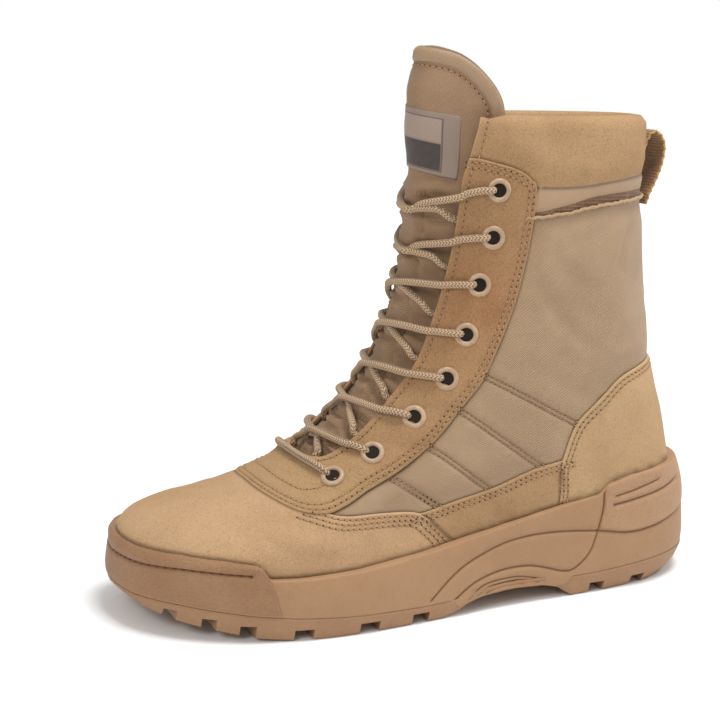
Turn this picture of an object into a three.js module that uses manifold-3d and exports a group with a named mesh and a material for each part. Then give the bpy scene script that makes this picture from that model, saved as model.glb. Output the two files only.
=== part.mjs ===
// Left lace-up combat boot in millimetres: +Z up, toe towards -Y, outer (lateral) side +X.
// Origin: on the ground, under the middle of the sole.
import * as THREE from 'three';
import { mergeVertices } from 'three/addons/utils/BufferGeometryUtils.js';
import Module from 'manifold-3d';

const wasm = await Module();
wasm.setup();

// ---------------------------------------------------------------- driving sizes
const GAP = 0.3;                 // clearance between neighbouring pieces
const LACE_RADIUS = 1.7;
const EYELET = { hole: 2.9, barrel: 3.6, flange: 5.75, rise: 1.1, seat: 0.65 };
const EYELET_HOLE_RADIUS = 4.3;  // hole punched through the facing
const TONGUE_THICKNESS = 6.0;
const TONGUE_CLEARANCE = 1.1;    // from the upper's inner wall to the tongue's tucked edges
const TONGUE_CROWN = 1.9;        // how far the tongue's crown stays below the facing line
const TONGUE_LEAN = 3.0;         // how far its free top leans out in front of the collar
const TONGUE_TOP = 1.34;         // tongue height above the collar, in stations
const STATION_ABOVE = 23.0;      // millimetres in one station above the collar
const LOOP = { width: 20, thickness: 1.6 };
const GROOVE_DEPTH = 5.0;        // depth of the grooves between lugs

// The last: a fan of flat sections from the collar (first row) round to the toe (last row).
// yF,zF front ridge; yB,zB back or bottom ridge; rF,rB depth of the rounding at each ridge;
// ridge: x of both ridges; half-widths on the lateral and medial side, front and back; wall.
const LAST_COLUMNS = ['yF', 'zF', 'yB', 'zB', 'rF', 'rB', 'ridge',
  'latF', 'medF', 'latB', 'medB', 'wall'];
const LAST = [
  [   -12, 231.5,  109.5, 234.5, 60, 56,    0, 36.5, 35.5, 35.5,   35,   7],
  [ -13.5,   211,    111,   210, 62, 58,    0, 38.5,   37, 37.5,   37, 6.5],
  [   -15,   189,  112.5,   186, 62, 58,    0, 38.5,   37, 37.5, 36.5, 4.2],
  [   -16,   166,  115.3,   159, 62, 54,    0, 38.5, 36.5,   37,   36,   4],
  [   -19,   144,  119.5,   131, 58, 48,    0, 38.5, 36.5, 36.5, 35.5,   4],
  [ -25.5,   123,    126,   104, 52, 44,    0,   39,   37, 35.5, 34.5, 3.8],
  [ -35.5, 103.5,    134,    78, 47, 40,    0,   40,   38, 34.5,   34, 3.6],
  [   -48,  88.5,  140.5,    50, 44, 38,   -1, 41.5, 39.5,   34, 33.5, 3.4],
  [ -60.5,    78,    140,    25, 42, 34, -1.5, 43.5,   40, 33.5,   32, 3.2],
  [ -73.5,  69.7,    110,    17, 40, 16,   -2, 45.5, 40.5, 34.5,   32, 2.8],
  [   -85,  63.3,     62,  15.5, 38, 11,   -3,   47, 42.5, 38.5,   32, 2.6],
  [   -97,  59.2,      8,  15.5, 37, 10,   -4, 48.5, 44.5, 44.5, 35.5, 2.6],
  [-109.5,  56.4,    -42,  12.5, 36, 10, -5.5, 47.6,   47, 48.6, 42.5, 2.6],
  [-121.5,    54,    -88,    15, 34, 10,   -7,   43,   47,   44, 46.5, 2.6],
  [-132.3,  51.3,   -117,    18, 30, 10, -8.5, 33.8, 42.5, 34.6,   42, 2.6],
  [  -141,  47.8,   -136,  20.5, 24, 10,  -10, 21.8,   36, 22.2,   35, 2.6],
  [  -147,    43, -146.5,  23.5, 16, 10,  -11,    7,   26,  7.4, 25.5, 2.6],
  [  -150,  36.5, -149.8,    28,  8,  6,  -12,  -11,   13,  -11,   13, 2.6],
].map((row) => Object.fromEntries(LAST_COLUMNS.map((name, i) => [name, row[i]])));
const TOE = LAST.length - 1;
const ROUNDING_POWER = 2.15;

// Sole plan: half-widths at stations along the foot, between the two tips.
const SOLE_TOE = { x: -12, y: -153 };
const SOLE_HEEL = { x: -0.5, y: 155.5 };
const SOLE_PLAN = [
  { y: -150, lat: 7, med: -29 },
  { y: -145, lat: 18, med: -37.5 },
  { y: -135, lat: 29.5, med: -44 },
  { y: -120, lat: 40, med: -48.5 },
  { y: -100, lat: 48.5, med: -50.8 },
  { y: -75, lat: 53.3, med: -50.8 },
  { y: -50, lat: 53.6, med: -48.3 },
  { y: -25, lat: 51, med: -44.6 },
  { y: 0, lat: 47.8, med: -41.4 },
  { y: 25, lat: 44.4, med: -39.4 },
  { y: 50, lat: 42.2, med: -38.8 },
  { y: 75, lat: 41.2, med: -38.8 },
  { y: 100, lat: 40, med: -38.8 },
  { y: 120, lat: 37, med: -36.3 },
  { y: 137, lat: 29, med: -29 },
  { y: 148, lat: 18, med: -19 },
  { y: 153.5, lat: 8, med: -9 },
];

// Sole heights along the foot: lug face, parting line above the lugs, top of the cup,
// and how far the lug face and the cup's rim stand in from the plan outline.
const SOLE_SIDE = [
  { y: -156, ground: 12, parting: 15.5, top: 37, faceIn: 4, rimIn: 3.5 },
  { y: -146, ground: 10, parting: 16, top: 37.5, faceIn: 3, rimIn: 2.8 },
  { y: -134, ground: 7.2, parting: 15.6, top: 38, faceIn: 2.5, rimIn: 2.2 },
  { y: -116, ground: 4, parting: 13.8, top: 36.8, faceIn: 2.2, rimIn: 1.8 },
  { y: -102, ground: 1.6, parting: 12.2, top: 34.8, faceIn: 2.2, rimIn: 1.6 },
  { y: -97, ground: 1, parting: 11.8, top: 28.4, faceIn: 2.2, rimIn: 1.6 },
  { y: -84, ground: 0, parting: 10.6, top: 28.2, faceIn: 2.2, rimIn: 1.6 },
  { y: -55, ground: 0, parting: 9, top: 29.5, faceIn: 2.2, rimIn: 1.6 },
  { y: -19, ground: 0, parting: 8, top: 33.4, faceIn: 2, rimIn: 1.5 },
  { y: -2, ground: 0, parting: 8.5, top: 36, faceIn: 2, rimIn: 1.4 },
  { y: 2.5, ground: 4.5, parting: 9.5, top: 36.8, faceIn: 2, rimIn: 1.4 },
  { y: 12, ground: 6.8, parting: 11.5, top: 38.3, faceIn: 2, rimIn: 1.4 },
  { y: 30, ground: 8, parting: 12.5, top: 41.2, faceIn: 2, rimIn: 1.4 },
  { y: 50, ground: 7, parting: 11.6, top: 45, faceIn: 2, rimIn: 1.4 },
  { y: 58.5, ground: 5, parting: 10.4, top: 46.5, faceIn: 2, rimIn: 1.6 },
  { y: 63, ground: 0, parting: 10, top: 47.2, faceIn: 1.6, rimIn: 1.7 },
  { y: 81, ground: 0, parting: 10.4, top: 50, faceIn: 2.6, rimIn: 1.7 },
  { y: 86, ground: 0, parting: 10.8, top: 55, faceIn: 3, rimIn: 1.8 },
  { y: 100, ground: 0, parting: 11.8, top: 58.5, faceIn: 4.2, rimIn: 1.9 },
  { y: 121, ground: 0, parting: 13.6, top: 61, faceIn: 6, rimIn: 2.6 },
  { y: 135, ground: 0.6, parting: 14.2, top: 61, faceIn: 6.5, rimIn: 4.6 },
  { y: 146, ground: 4, parting: 14.4, top: 60.5, faceIn: 5.5, rimIn: 7 },
  { y: 157, ground: 8, parting: 14.4, top: 60, faceIn: 3, rimIn: 8 },
];
// Grooves across the sole between lugs: middle, width and sweep of each one.
const GROOVES = [
  { y: -136, width: 5, sweep: 0 },
  { y: -123, width: 6, sweep: 3 },
  { y: -107.5, width: 7, sweep: 4 },
  { y: -83, width: 9, sweep: 5 },
  { y: -51, width: 10, sweep: 5 },
  { y: -23.5, width: 9, sweep: 4 },
  { y: 83.5, width: 9, sweep: -3 },
  { y: 111, width: 9, sweep: -4 },
];
const CENTRE_GROOVE = { width: 5, from: -118, to: -8, heelFrom: 70, heelTo: 128 };

// Height of the upper's lower edge, where the insole closes it.
const FLOOR = [
  { y: -170, z: 29 }, { y: -147, z: 28.5 }, { y: -136, z: 25.5 }, { y: -117, z: 23 },
  { y: -88, z: 20 }, { y: -42, z: 17.7 }, { y: 8, z: 20.3 }, { y: 62, z: 20.5 },
  { y: 110, z: 22.5 }, { y: 135, z: 28 }, { y: 160, z: 30 },
];

// Half-gap of the throat as a share of the way round each section.
const THROAT = [
  { s: -1.0, a: 0.258 }, { s: 0, a: 0.258 }, { s: 1, a: 0.232 }, { s: 2, a: 0.216 },
  { s: 3.2, a: 0.196 }, { s: 4.1, a: 0.177 }, { s: 5.2, a: 0.157 }, { s: 6, a: 0.128 },
  { s: 7.3, a: 0.107 }, { s: 8.0, a: 0.092 }, { s: 8.35, a: 0.072 }, { s: 8.5, a: 0.03 },
];
// Half-width of the tongue on the same chart, from its rounded top to under the vamp.
const TONGUE = [
  { s: -TONGUE_TOP, a: 0.1 }, { s: -1.22, a: 0.19 }, { s: -0.95, a: 0.265 },
  { s: -0.5, a: 0.325 }, { s: 0, a: 0.345 }, { s: 1, a: 0.345 }, { s: 3, a: 0.315 },
  { s: 5, a: 0.265 }, { s: 7, a: 0.2 }, { s: 8.6, a: 0.165 }, { s: 9.6, a: 0.14 },
];
const EYELETS = [
  { s: 1.5, a: 0.325 }, { s: 2.44, a: 0.318 }, { s: 3.38, a: 0.29 }, { s: 4.41, a: 0.272 },
  { s: 5.38, a: 0.248 }, { s: 6.35, a: 0.206 }, { s: 7.58, a: 0.167 }, { s: 8.76, a: 0.145 },
];
// Centre line of the pull loop in the plane x = 0.
const LOOP_PATH = [
  [113.2, 222.5], [115.5, 226.8], [119.7, 226.4], [123.4, 220.5],
  [122.6, 211], [119.5, 202.5], [116.4, 196.5], [114.6, 192.5],
];

// ---------------------------------------------------------------- small helpers
function rowAt(table, key, value) {
  // Straight-line reading of a table sorted by one column.
  const last = table.length - 1;
  if (value <= table[0][key]) return { ...table[0] };
  if (value >= table[last][key]) return { ...table[last] };
  let i = 0;
  while (table[i + 1][key] < value) i += 1;
  const t = (value - table[i][key]) / (table[i + 1][key] - table[i][key]);
  const row = {};
  for (const column of Object.keys(table[i])) {
    row[column] = table[i][column] * (1 - t) + table[i + 1][column] * t;
  }
  return row;
}

function spline(p0, p1, p2, p3, t) {
  return 0.5 * (2 * p1 + (p2 - p0) * t + (2 * p0 - 5 * p1 + 4 * p2 - p3) * t * t
    + (3 * p1 - p0 - 3 * p2 + p3) * t * t * t);
}

function lastRow(s) {
  // Smooth reading of the last's table at any station.
  const x = Math.min(Math.max(s, 0), TOE);
  const i = Math.min(Math.floor(x), TOE - 1);
  const t = x - i;
  const row = {};
  for (const column of Object.keys(LAST[0])) {
    const p1 = LAST[i][column];
    const p2 = LAST[i + 1][column];
    const p0 = i > 0 ? LAST[i - 1][column] : 2 * p1 - p2;
    const p3 = i < TOE - 1 ? LAST[i + 2][column] : 2 * p2 - p1;
    row[column] = spline(p0, p1, p2, p3, t);
  }
  return row;
}

function rounded(u) {
  const k = Math.min(Math.max(u, 0), 1);
  return (1 - (1 - k) ** ROUNDING_POWER) ** (1 / ROUNDING_POWER);
}

// Point of the last at station s, and a = -1..1 round the section:
// 0 front ridge, +1 and -1 back ridge, positive on the lateral side.
function skin(s, a) {
  const r = lastRow(s);
  const around = Math.min(Math.abs(a), 1);
  const tau = (1 - Math.cos(Math.PI * around)) / 2;
  const length = Math.hypot(r.yB - r.yF, r.zB - r.zF);
  const bulge = rounded(tau * length / Math.min(r.rF, length * 0.6))
    * rounded((1 - tau) * length / Math.min(r.rB, length * 0.6));
  const lateral = r.latF + (r.latB - r.latF) * tau;
  const medial = -(r.medF + (r.medB - r.medF) * tau);
  const side = a >= 0 ? lateral : medial;
  const x = r.ridge + (side - r.ridge) * bulge;
  const y = r.yF + (r.yB - r.yF) * tau;
  const z = r.zF + (r.zB - r.zF) * tau;
  const above = Math.min(s, 0);
  return new THREE.Vector3(x, y + above * 1.5, z - above * STATION_ABOVE);
}

function skinNormal(s, a) {
  const h = 0.01;
  const sIn = Math.min(Math.max(s, h), TOE - 0.2);
  const wrap = (v) => (v > 1 ? v - 2 : v < -1 ? v + 2 : v);
  const along = skin(sIn + h, a).sub(skin(sIn - h, a));
  const round = skin(sIn, wrap(a + h)).sub(skin(sIn, wrap(a - h)));
  return along.cross(round).normalize();
}

function offsetSkin(s, a, distance) {
  return skin(s, a).addScaledVector(skinNormal(s, a), distance);
}

function geometryFrom(points, triangles) {
  const geometry = new THREE.BufferGeometry();
  const flat = new Float32Array(points.flatMap((p) => [p.x, p.y, p.z]));
  geometry.setAttribute('position', new THREE.BufferAttribute(flat, 3));
  geometry.setIndex(triangles);
  return geometry;
}

function quad(triangles, a, b, c, d) {
  triangles.push(a, b, c, a, c, d);
}

function solid(geometry) {
  const clean = geometry.clone();
  clean.deleteAttribute('normal');
  clean.deleteAttribute('uv');
  const merged = mergeVertices(clean, 1e-4);
  const index = merged.index.array;
  const triangles = [];
  for (let i = 0; i < index.length; i += 3) {
    const [a, b, c] = [index[i], index[i + 1], index[i + 2]];
    if (a !== b && b !== c && c !== a) triangles.push(a, b, c);
  }
  return new wasm.Manifold(new wasm.Mesh({
    numProp: 3,
    vertProperties: new Float32Array(merged.attributes.position.array),
    triVerts: new Uint32Array(triangles),
  }));
}

function geometryOf(manifold) {
  const mesh = manifold.getMesh();
  const geometry = new THREE.BufferGeometry();
  const places = new Float32Array(mesh.vertProperties);
  geometry.setAttribute('position', new THREE.BufferAttribute(places, 3));
  geometry.setIndex([...mesh.triVerts]);
  return geometry;
}

// ---------------------------------------------------------------- forms
// Closed ring loft: equal-length rings, both ends closed to the ring's middle.
function ringSolid(rings) {
  const points = rings.flat();
  const n = rings[0].length;
  const triangles = [];
  for (let i = 0; i + 1 < rings.length; i += 1) {
    for (let j = 0; j < n; j += 1) {
      const k = (j + 1) % n;
      quad(triangles, i * n + j, (i + 1) * n + j, (i + 1) * n + k, i * n + k);
    }
  }
  for (const [ring, flip] of [[0, true], [rings.length - 1, false]]) {
    const middle = new THREE.Vector3();
    rings[ring].forEach((p) => middle.addScaledVector(p, 1 / n));
    points.push(middle);
    const centre = points.length - 1;
    for (let j = 0; j < n; j += 1) {
      const a = ring * n + j;
      const b = ring * n + (j + 1) % n;
      if (flip) triangles.push(centre, a, b);
      else triangles.push(centre, b, a);
    }
  }
  return geometryFrom(points, triangles);
}

const AROUND = 34;
const STATIONS = [0, 1.2, 2.4, 3.6, 4.6, 5.5, 6.4, 7.2, 7.8, 8.4, 9, 9.6, 10.3, 11, 11.7, 12.4, 13.1,
  13.8, 14.5, 15.1, 15.7, 16.2, 16.6, 17];

function formRing(s, distanceAt) {
  const ring = [];
  for (let j = 0; j < AROUND; j += 1) {
    const a = -1 + (2 * j) / AROUND;
    ring.push(offsetSkin(s, a, distanceAt(s)));
  }
  return ring;
}

// The last grown or shrunk by a distance, from above the collar down to the toe.
function form(distanceAt, from = 0, raise = 0) {
  const stations = STATIONS.filter((s) => s >= from);
  const rings = stations.map((s) => formRing(s, distanceAt));
  if (raise > 0) {
    rings.unshift(rings[0].map((p) => p.clone().add(new THREE.Vector3(0, 0, raise))));
  }
  return solid(ringSolid(rings));
}

// A curved plate on the last's chart between two distances.
function plate(rows, columns, outer, inner) {
  const grids = [outer, inner].map((distance) => rows.map(({ s, a }) => {
    const line = [];
    for (let j = -columns; j <= columns; j += 1) {
      const across = (a * j) / columns;
      line.push(offsetSkin(s, across, distance(s, across)));
    }
    return line;
  }));
  const width = 2 * columns + 1;
  const layer = rows.length * width;
  const points = grids.flat(2);
  const triangles = [];
  const at = (g, i, j) => g * layer + i * width + j;
  for (let i = 0; i + 1 < rows.length; i += 1) {
    for (let j = 0; j + 1 < width; j += 1) {
      quad(triangles, at(0, i, j), at(0, i + 1, j), at(0, i + 1, j + 1), at(0, i, j + 1));
      quad(triangles, at(1, i, j), at(1, i, j + 1), at(1, i + 1, j + 1), at(1, i + 1, j));
    }
    quad(triangles, at(0, i, 0), at(1, i, 0), at(1, i + 1, 0), at(0, i + 1, 0));
    const e = width - 1;
    quad(triangles, at(0, i, e), at(0, i + 1, e), at(1, i + 1, e), at(1, i, e));
  }
  const b = rows.length - 1;
  for (let j = 0; j + 1 < width; j += 1) {
    quad(triangles, at(0, 0, j), at(0, 0, j + 1), at(1, 0, j + 1), at(1, 0, j));
    quad(triangles, at(0, b, j), at(1, b, j), at(1, b, j + 1), at(0, b, j + 1));
  }
  return solid(geometryFrom(points, triangles));
}

// Everything below the insole line, as one extrusion across the boot.
function belowFloor(lift) {
  const shape = new THREE.Shape();
  shape.moveTo(-170, -40);
  shape.lineTo(160, -40);
  [...FLOOR].reverse().forEach(({ y, z }) => shape.lineTo(y, z + lift));
  const geometry = new THREE.ExtrudeGeometry(shape, { depth: 160, bevelEnabled: false });
  // Shape x -> world y, shape y -> world z, depth -> world x.
  const toWorld = new THREE.Matrix4().makeBasis(
    new THREE.Vector3(0, 1, 0), new THREE.Vector3(0, 0, 1), new THREE.Vector3(1, 0, 0));
  geometry.applyMatrix4(toWorld).translate(-80, 0, 0);
  return solid(geometry);
}

// ---------------------------------------------------------------- sole
const SOLE_STEPS = 3;            // points per row of the plan

function soleOutline() {
  const point = (x, y) => new THREE.Vector3(x, y, 0);
  const lateral = SOLE_PLAN.map((row) => point(row.lat, row.y));
  const medial = SOLE_PLAN.map((row) => point(row.med, row.y));
  const control = [point(SOLE_TOE.x, SOLE_TOE.y), ...lateral,
    point(SOLE_HEEL.x, SOLE_HEEL.y), ...medial.reverse()];
  const curve = new THREE.CatmullRomCurve3(control, true, 'catmullrom', 0.5);
  const count = control.length * SOLE_STEPS;
  const ring = [];
  for (let i = 0; i < count; i += 1) {
    const place = curve.getPoint(i / count);
    const heading = curve.getPoint(((i + 0.2) / count) % 1)
      .sub(curve.getPoint(((i - 0.2 + count) / count) % 1));
    ring.push({ place, out: new THREE.Vector3(heading.y, -heading.x, 0).normalize() });
  }
  return ring;
}

// Levels name a height and an inset for every plan point; the caps join mirrored points.
function soleLayer(levels) {
  const ring = soleOutline();
  const n = ring.length;
  const points = [];
  for (const level of levels) {
    for (const { place, out } of ring) {
      const row = rowAt(SOLE_SIDE, 'y', place.y);
      const { z, inset } = level(row);
      points.push(place.clone().addScaledVector(out, -inset).setZ(z));
    }
  }
  const triangles = [];
  for (let i = 0; i + 1 < levels.length; i += 1) {
    for (let j = 0; j < n; j += 1) {
      const k = (j + 1) % n;
      quad(triangles, i * n + j, i * n + k, (i + 1) * n + k, (i + 1) * n + j);
    }
  }
  const top = (levels.length - 1) * n;
  for (let j = 0; j < n / 2; j += 1) {
    const [a, b] = [j, j + 1];
    const [c, d] = [(n - j - 1) % n, (n - j) % n];
    const tip = j === 0;
    const end = b === c;
    if (tip) {
      triangles.push(a, c, b, top + a, top + b, top + c);
    } else if (end) {
      triangles.push(a, d, b, top + a, top + b, top + d);
    } else {
      quad(triangles, a, d, c, b);
      quad(triangles, top + a, top + b, top + c, top + d);
    }
  }
  return solid(geometryFrom(points, triangles));
}

function buildMidsole() {
  const block = soleLayer([
    (row) => ({ z: row.parting + GAP, inset: 0.2 }),
    (row) => ({ z: row.parting + 4, inset: 0 }),
    (row) => ({ z: row.parting + (row.top - row.parting) * 0.6, inset: row.rimIn * 0.3 }),
    (row) => ({ z: row.top - 1, inset: row.rimIn * 0.85 }),
    (row) => ({ z: row.top, inset: row.rimIn + 0.6 }),
  ]);
  return block.subtract(form(() => GAP + 0.1, 5));
}

function grooveCutter({ y, width, sweep }) {
  // A groove that sweeps back or forward towards the middle of the sole.
  const shape = new THREE.Shape();
  const half = width / 2;
  shape.moveTo(-90, y - half);
  shape.lineTo(0, y - half + sweep);
  shape.lineTo(90, y - half);
  shape.lineTo(90, y + half);
  shape.lineTo(0, y + half + sweep);
  shape.lineTo(-90, y + half);
  const row = rowAt(SOLE_SIDE, 'y', y);
  const depth = 20 + GROOVE_DEPTH;
  const geometry = new THREE.ExtrudeGeometry(shape, { depth, bevelEnabled: false });
  geometry.translate(0, 0, row.ground - 20);
  return solid(geometry);
}

function centreCutter(from, to) {
  const geometry = new THREE.BoxGeometry(CENTRE_GROOVE.width, to - from, 2 * 4);
  geometry.translate(-2, (from + to) / 2, 0);
  return solid(geometry);
}

function buildOutsole() {
  let body = soleLayer([
    (row) => ({ z: row.ground, inset: row.faceIn }),
    (row) => ({ z: row.ground + (row.parting - row.ground) * 0.45, inset: row.faceIn * 0.35 }),
    (row) => ({ z: row.parting - 1, inset: 0 }),
    (row) => ({ z: row.parting, inset: 0.2 }),
  ]);
  for (const groove of GROOVES) body = body.subtract(grooveCutter(groove));
  body = body.subtract(centreCutter(CENTRE_GROOVE.from, CENTRE_GROOVE.to));
  return body.subtract(centreCutter(CENTRE_GROOVE.heelFrom, CENTRE_GROOVE.heelTo));
}

// ---------------------------------------------------------------- upper, insole, tongue
function wallAt(s) {
  return lastRow(s).wall;
}

function eyeletFrame({ s, a }) {
  const place = skin(s, a);
  const normal = skinNormal(s, a);
  const turn = new THREE.Quaternion().setFromUnitVectors(new THREE.Vector3(0, 1, 0), normal);
  return { place, normal, turn };
}

function eyeletPunch(spot) {
  const { place, turn } = eyeletFrame(spot);
  const geometry = new THREE.CylinderGeometry(EYELET_HOLE_RADIUS, EYELET_HOLE_RADIUS, 26, 8);
  geometry.applyQuaternion(turn).translate(place.x, place.y, place.z);
  return solid(geometry);
}

function bothSides(spot) {
  return [spot, { s: spot.s, a: -spot.a }];
}

function buildUpper() {
  const hollow = form((s) => -wallAt(s), 0, 12);
  let body = form(() => 0).subtract(hollow).subtract(belowFloor(0));
  body = body.subtract(plate(THROAT, 6, () => 8, () => -13));
  for (const spot of EYELETS.flatMap(bothSides)) body = body.subtract(eyeletPunch(spot));
  return body;
}

function buildInsole() {
  return form(() => 0, 5).intersect(belowFloor(-GAP));
}

function throatHalf(s) {
  return s > 8.5 ? 0 : rowAt(THROAT, 's', s).a;
}

function tongueOuter(s, a) {
  const tucked = -(wallAt(s) + TONGUE_CLEARANCE);
  const half = throatHalf(s);
  const share = half > 0 ? Math.abs(a) / half : 1;
  const fade = Math.min(Math.max((8.3 - s) / 1.2, 0), 1);
  const swell = share < 1 ? Math.cos((Math.PI / 2) * share) ** 2 : 0;
  const free = Math.min(Math.max((0.9 - s) / 1.4, 0), 1) * TONGUE_LEAN;
  return tucked + (free - tucked - TONGUE_CROWN) * swell * fade;
}

function buildTongue() {
  const rows = [];
  for (let i = 0; i + 1 < TONGUE.length; i += 1) {
    const pieces = TONGUE[i + 1].s - TONGUE[i].s > 1.5 ? 2 : 1;
    for (let k = 0; k < pieces; k += 1) {
      const t = k / pieces;
      rows.push({
        s: TONGUE[i].s * (1 - t) + TONGUE[i + 1].s * t,
        a: TONGUE[i].a * (1 - t) + TONGUE[i + 1].a * t,
      });
    }
  }
  rows.push({ ...TONGUE[TONGUE.length - 1] });
  const inner = (s, a) => {
    const tucked = -(wallAt(s) + TONGUE_CLEARANCE);
    return tucked - TONGUE_THICKNESS + (tongueOuter(s, a) - tucked) * 0.5;
  };
  return plate(rows, 6, tongueOuter, inner);
}

// ---------------------------------------------------------------- eyelets, lace, loop
// Ring about local +Y, its barrel reaching through the facing's wall.
function eyeletGeometry(depth) {
  const { hole, barrel, flange, rise, seat } = EYELET;
  const profile = [
    new THREE.Vector2(hole, -depth),
    new THREE.Vector2(barrel, -depth),
    new THREE.Vector2(barrel, seat),
    new THREE.Vector2(flange, seat),
    new THREE.Vector2(flange - 1.3, seat + rise),
    new THREE.Vector2(hole, seat + rise * 0.4),
    new THREE.Vector2(hole, -depth),
  ];
  const geometry = new THREE.LatheGeometry(profile, 10);
  return geometryOf(solid(geometry));
}

// A cord laid on the chart through points that name station, place and height.
function cord(points) {
  const curve = new THREE.CatmullRomCurve3(points.map((p) => offsetSkin(p.s, p.a, p.h)));
  const shape = new THREE.Shape();
  for (let i = 0; i < 6; i += 1) {
    const angle = (Math.PI / 3) * i;
    const [x, y] = [LACE_RADIUS * Math.cos(angle), LACE_RADIUS * Math.sin(angle)];
    if (i === 0) shape.moveTo(x, y);
    else shape.lineTo(x, y);
  }
  shape.closePath();
  return solid(new THREE.ExtrudeGeometry(shape, {
    steps: 8, bevelEnabled: false, extrudePath: curve,
  }));
}

// One cord from under a facing edge, over the tongue, to just short of the far eyelet.
function crossingCord(from, to, direction) {
  const sStart = from.s - 0.38 * (from.s - to.s);
  const edgeStart = throatHalf(Math.min(sStart, 8.2)) - 0.055;
  const aEnd = Math.max(to.a - 0.105, throatHalf(to.s) + 0.012);
  const sMiddle = (sStart + to.s) / 2;
  return cord([
    { s: sStart, a: -direction * edgeStart, h: 0.2 },
    { s: sMiddle + 0.2, a: -direction * 0.05, h: 1.1 },
    { s: sMiddle + 0.02, a: direction * 0.05, h: 1.4 },
    { s: to.s + 0.16, a: direction * (throatHalf(to.s) - 0.02), h: 2.6 },
    { s: to.s + 0.06, a: direction * aEnd, h: 2.6 },
  ]);
}

function buildCrossing(k) {
  const [upper, lower] = [EYELETS[k], EYELETS[k + 1]];
  return crossingCord(lower, upper, 1).add(crossingCord(lower, upper, -1));
}

function buildBar() {
  const { s } = EYELETS[7];
  const reach = 0.085;
  return cord([
    { s: s - 0.04, a: -reach, h: 2.6 },
    { s: s - 0.08, a: -reach / 2, h: 3.2 },
    { s: s - 0.1, a: 0, h: 3.5 },
    { s: s - 0.08, a: reach / 2, h: 3.2 },
    { s: s - 0.04, a: reach, h: 2.6 },
  ]);
}

function buildLoop() {
  const line = new THREE.CatmullRomCurve3(LOOP_PATH.map(([y, z]) => new THREE.Vector3(y, z, 0)));
  const count = 16;
  const sides = [[], []];
  for (let i = 0; i <= count; i += 1) {
    const place = line.getPoint(i / count);
    const heading = line.getTangent(i / count);
    const out = new THREE.Vector3(-heading.y, heading.x, 0).multiplyScalar(LOOP.thickness / 2);
    sides[0].push(place.clone().add(out));
    sides[1].push(place.clone().sub(out));
  }
  const shape = new THREE.Shape([...sides[0], ...sides[1].reverse()]
    .map((p) => new THREE.Vector2(p.x, p.y)));
  const geometry = new THREE.ExtrudeGeometry(shape, { depth: LOOP.width, bevelEnabled: false });
  const toWorld = new THREE.Matrix4().makeBasis(
    new THREE.Vector3(0, 1, 0), new THREE.Vector3(0, 0, 1), new THREE.Vector3(1, 0, 0));
  geometry.applyMatrix4(toWorld).translate(-LOOP.width / 2, 0, 0);
  return solid(geometry);
}

// ---------------------------------------------------------------- assembly
const boot = new THREE.Group();

function addPiece(name, geometry, color, roughness, metalness = 0) {
  const material = new THREE.MeshStandardMaterial({ color, roughness, metalness });
  const mesh = new THREE.Mesh(geometry, material);
  mesh.name = name;
  boot.add(mesh);
  return mesh;
}

addPiece('outsole', geometryOf(buildOutsole()), 0xb5855c, 0.62);
addPiece('midsole', geometryOf(buildMidsole()), 0xb5855c, 0.6);
addPiece('insole', geometryOf(buildInsole()), 0x8a7a66, 0.95);
addPiece('upper', geometryOf(buildUpper()), 0xc29a6b, 0.95);
addPiece('tongue', geometryOf(buildTongue()), 0xb5946e, 0.9);
addPiece('pull_loop', geometryOf(buildLoop()), 0xb08a5c, 0.9);

EYELETS.forEach((spot, i) => {
  bothSides(spot).forEach((side, k) => {
    const { place, turn } = eyeletFrame(side);
    const name = `eyelet_${k === 0 ? 'lat' : 'med'}_${i + 1}`;
    const ring = addPiece(name, eyeletGeometry(wallAt(spot.s) - GAP), 0xb89468, 0.45, 0.5);
    ring.position.copy(place);
    ring.quaternion.copy(turn);
  });
});

addPiece('lace_bar', geometryOf(buildBar()), 0xc8a67c, 0.85);
for (let k = 0; k < EYELETS.length - 1; k += 1) {
  addPiece(`lace_cross_${k + 1}`, geometryOf(buildCrossing(k)), 0xc8a67c, 0.85);
}

export default boot;
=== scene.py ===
import math

import bpy
import numpy as np
from mathutils import Matrix, Vector
from mathutils.bvhtree import BVHTree
from mathutils.geometry import delaunay_2d_cdt


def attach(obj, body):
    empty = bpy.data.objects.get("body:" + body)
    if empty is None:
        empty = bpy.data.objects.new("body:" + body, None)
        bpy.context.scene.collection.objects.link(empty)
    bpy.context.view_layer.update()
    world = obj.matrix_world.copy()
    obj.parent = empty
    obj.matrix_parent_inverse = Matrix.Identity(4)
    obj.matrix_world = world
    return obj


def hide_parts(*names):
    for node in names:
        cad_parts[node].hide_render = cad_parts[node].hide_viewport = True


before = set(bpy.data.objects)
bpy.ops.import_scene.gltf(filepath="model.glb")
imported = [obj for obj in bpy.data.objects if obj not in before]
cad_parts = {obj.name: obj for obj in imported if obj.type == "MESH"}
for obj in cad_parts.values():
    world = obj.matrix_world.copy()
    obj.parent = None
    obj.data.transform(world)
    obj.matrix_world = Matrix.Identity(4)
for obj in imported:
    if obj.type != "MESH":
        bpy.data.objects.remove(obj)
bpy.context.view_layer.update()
MM = 0.001

# ------------------------------------------------------------------ camera and lamps
bpy.context.scene.view_settings.view_transform = "Standard"

camera = bpy.data.objects.new("camera", bpy.data.cameras.new("camera"))
camera.data.lens = 71.86
camera.data.sensor_width = 36.0
camera.data.clip_start = 0.02
# columns: the camera's right, its up, the way it backs off, and where it stands
camera.matrix_world = Matrix((
    (0.41247, -0.19478, 0.8899, 0.6097),
    (0.91009, 0.04563, -0.4118, -0.3176),
    (0.03961, 0.97975, 0.1961, 0.2507),
    (0.0, 0.0, 0.0, 1.0)))
bpy.context.scene.collection.objects.link(camera)
bpy.context.scene.camera = camera


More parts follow.
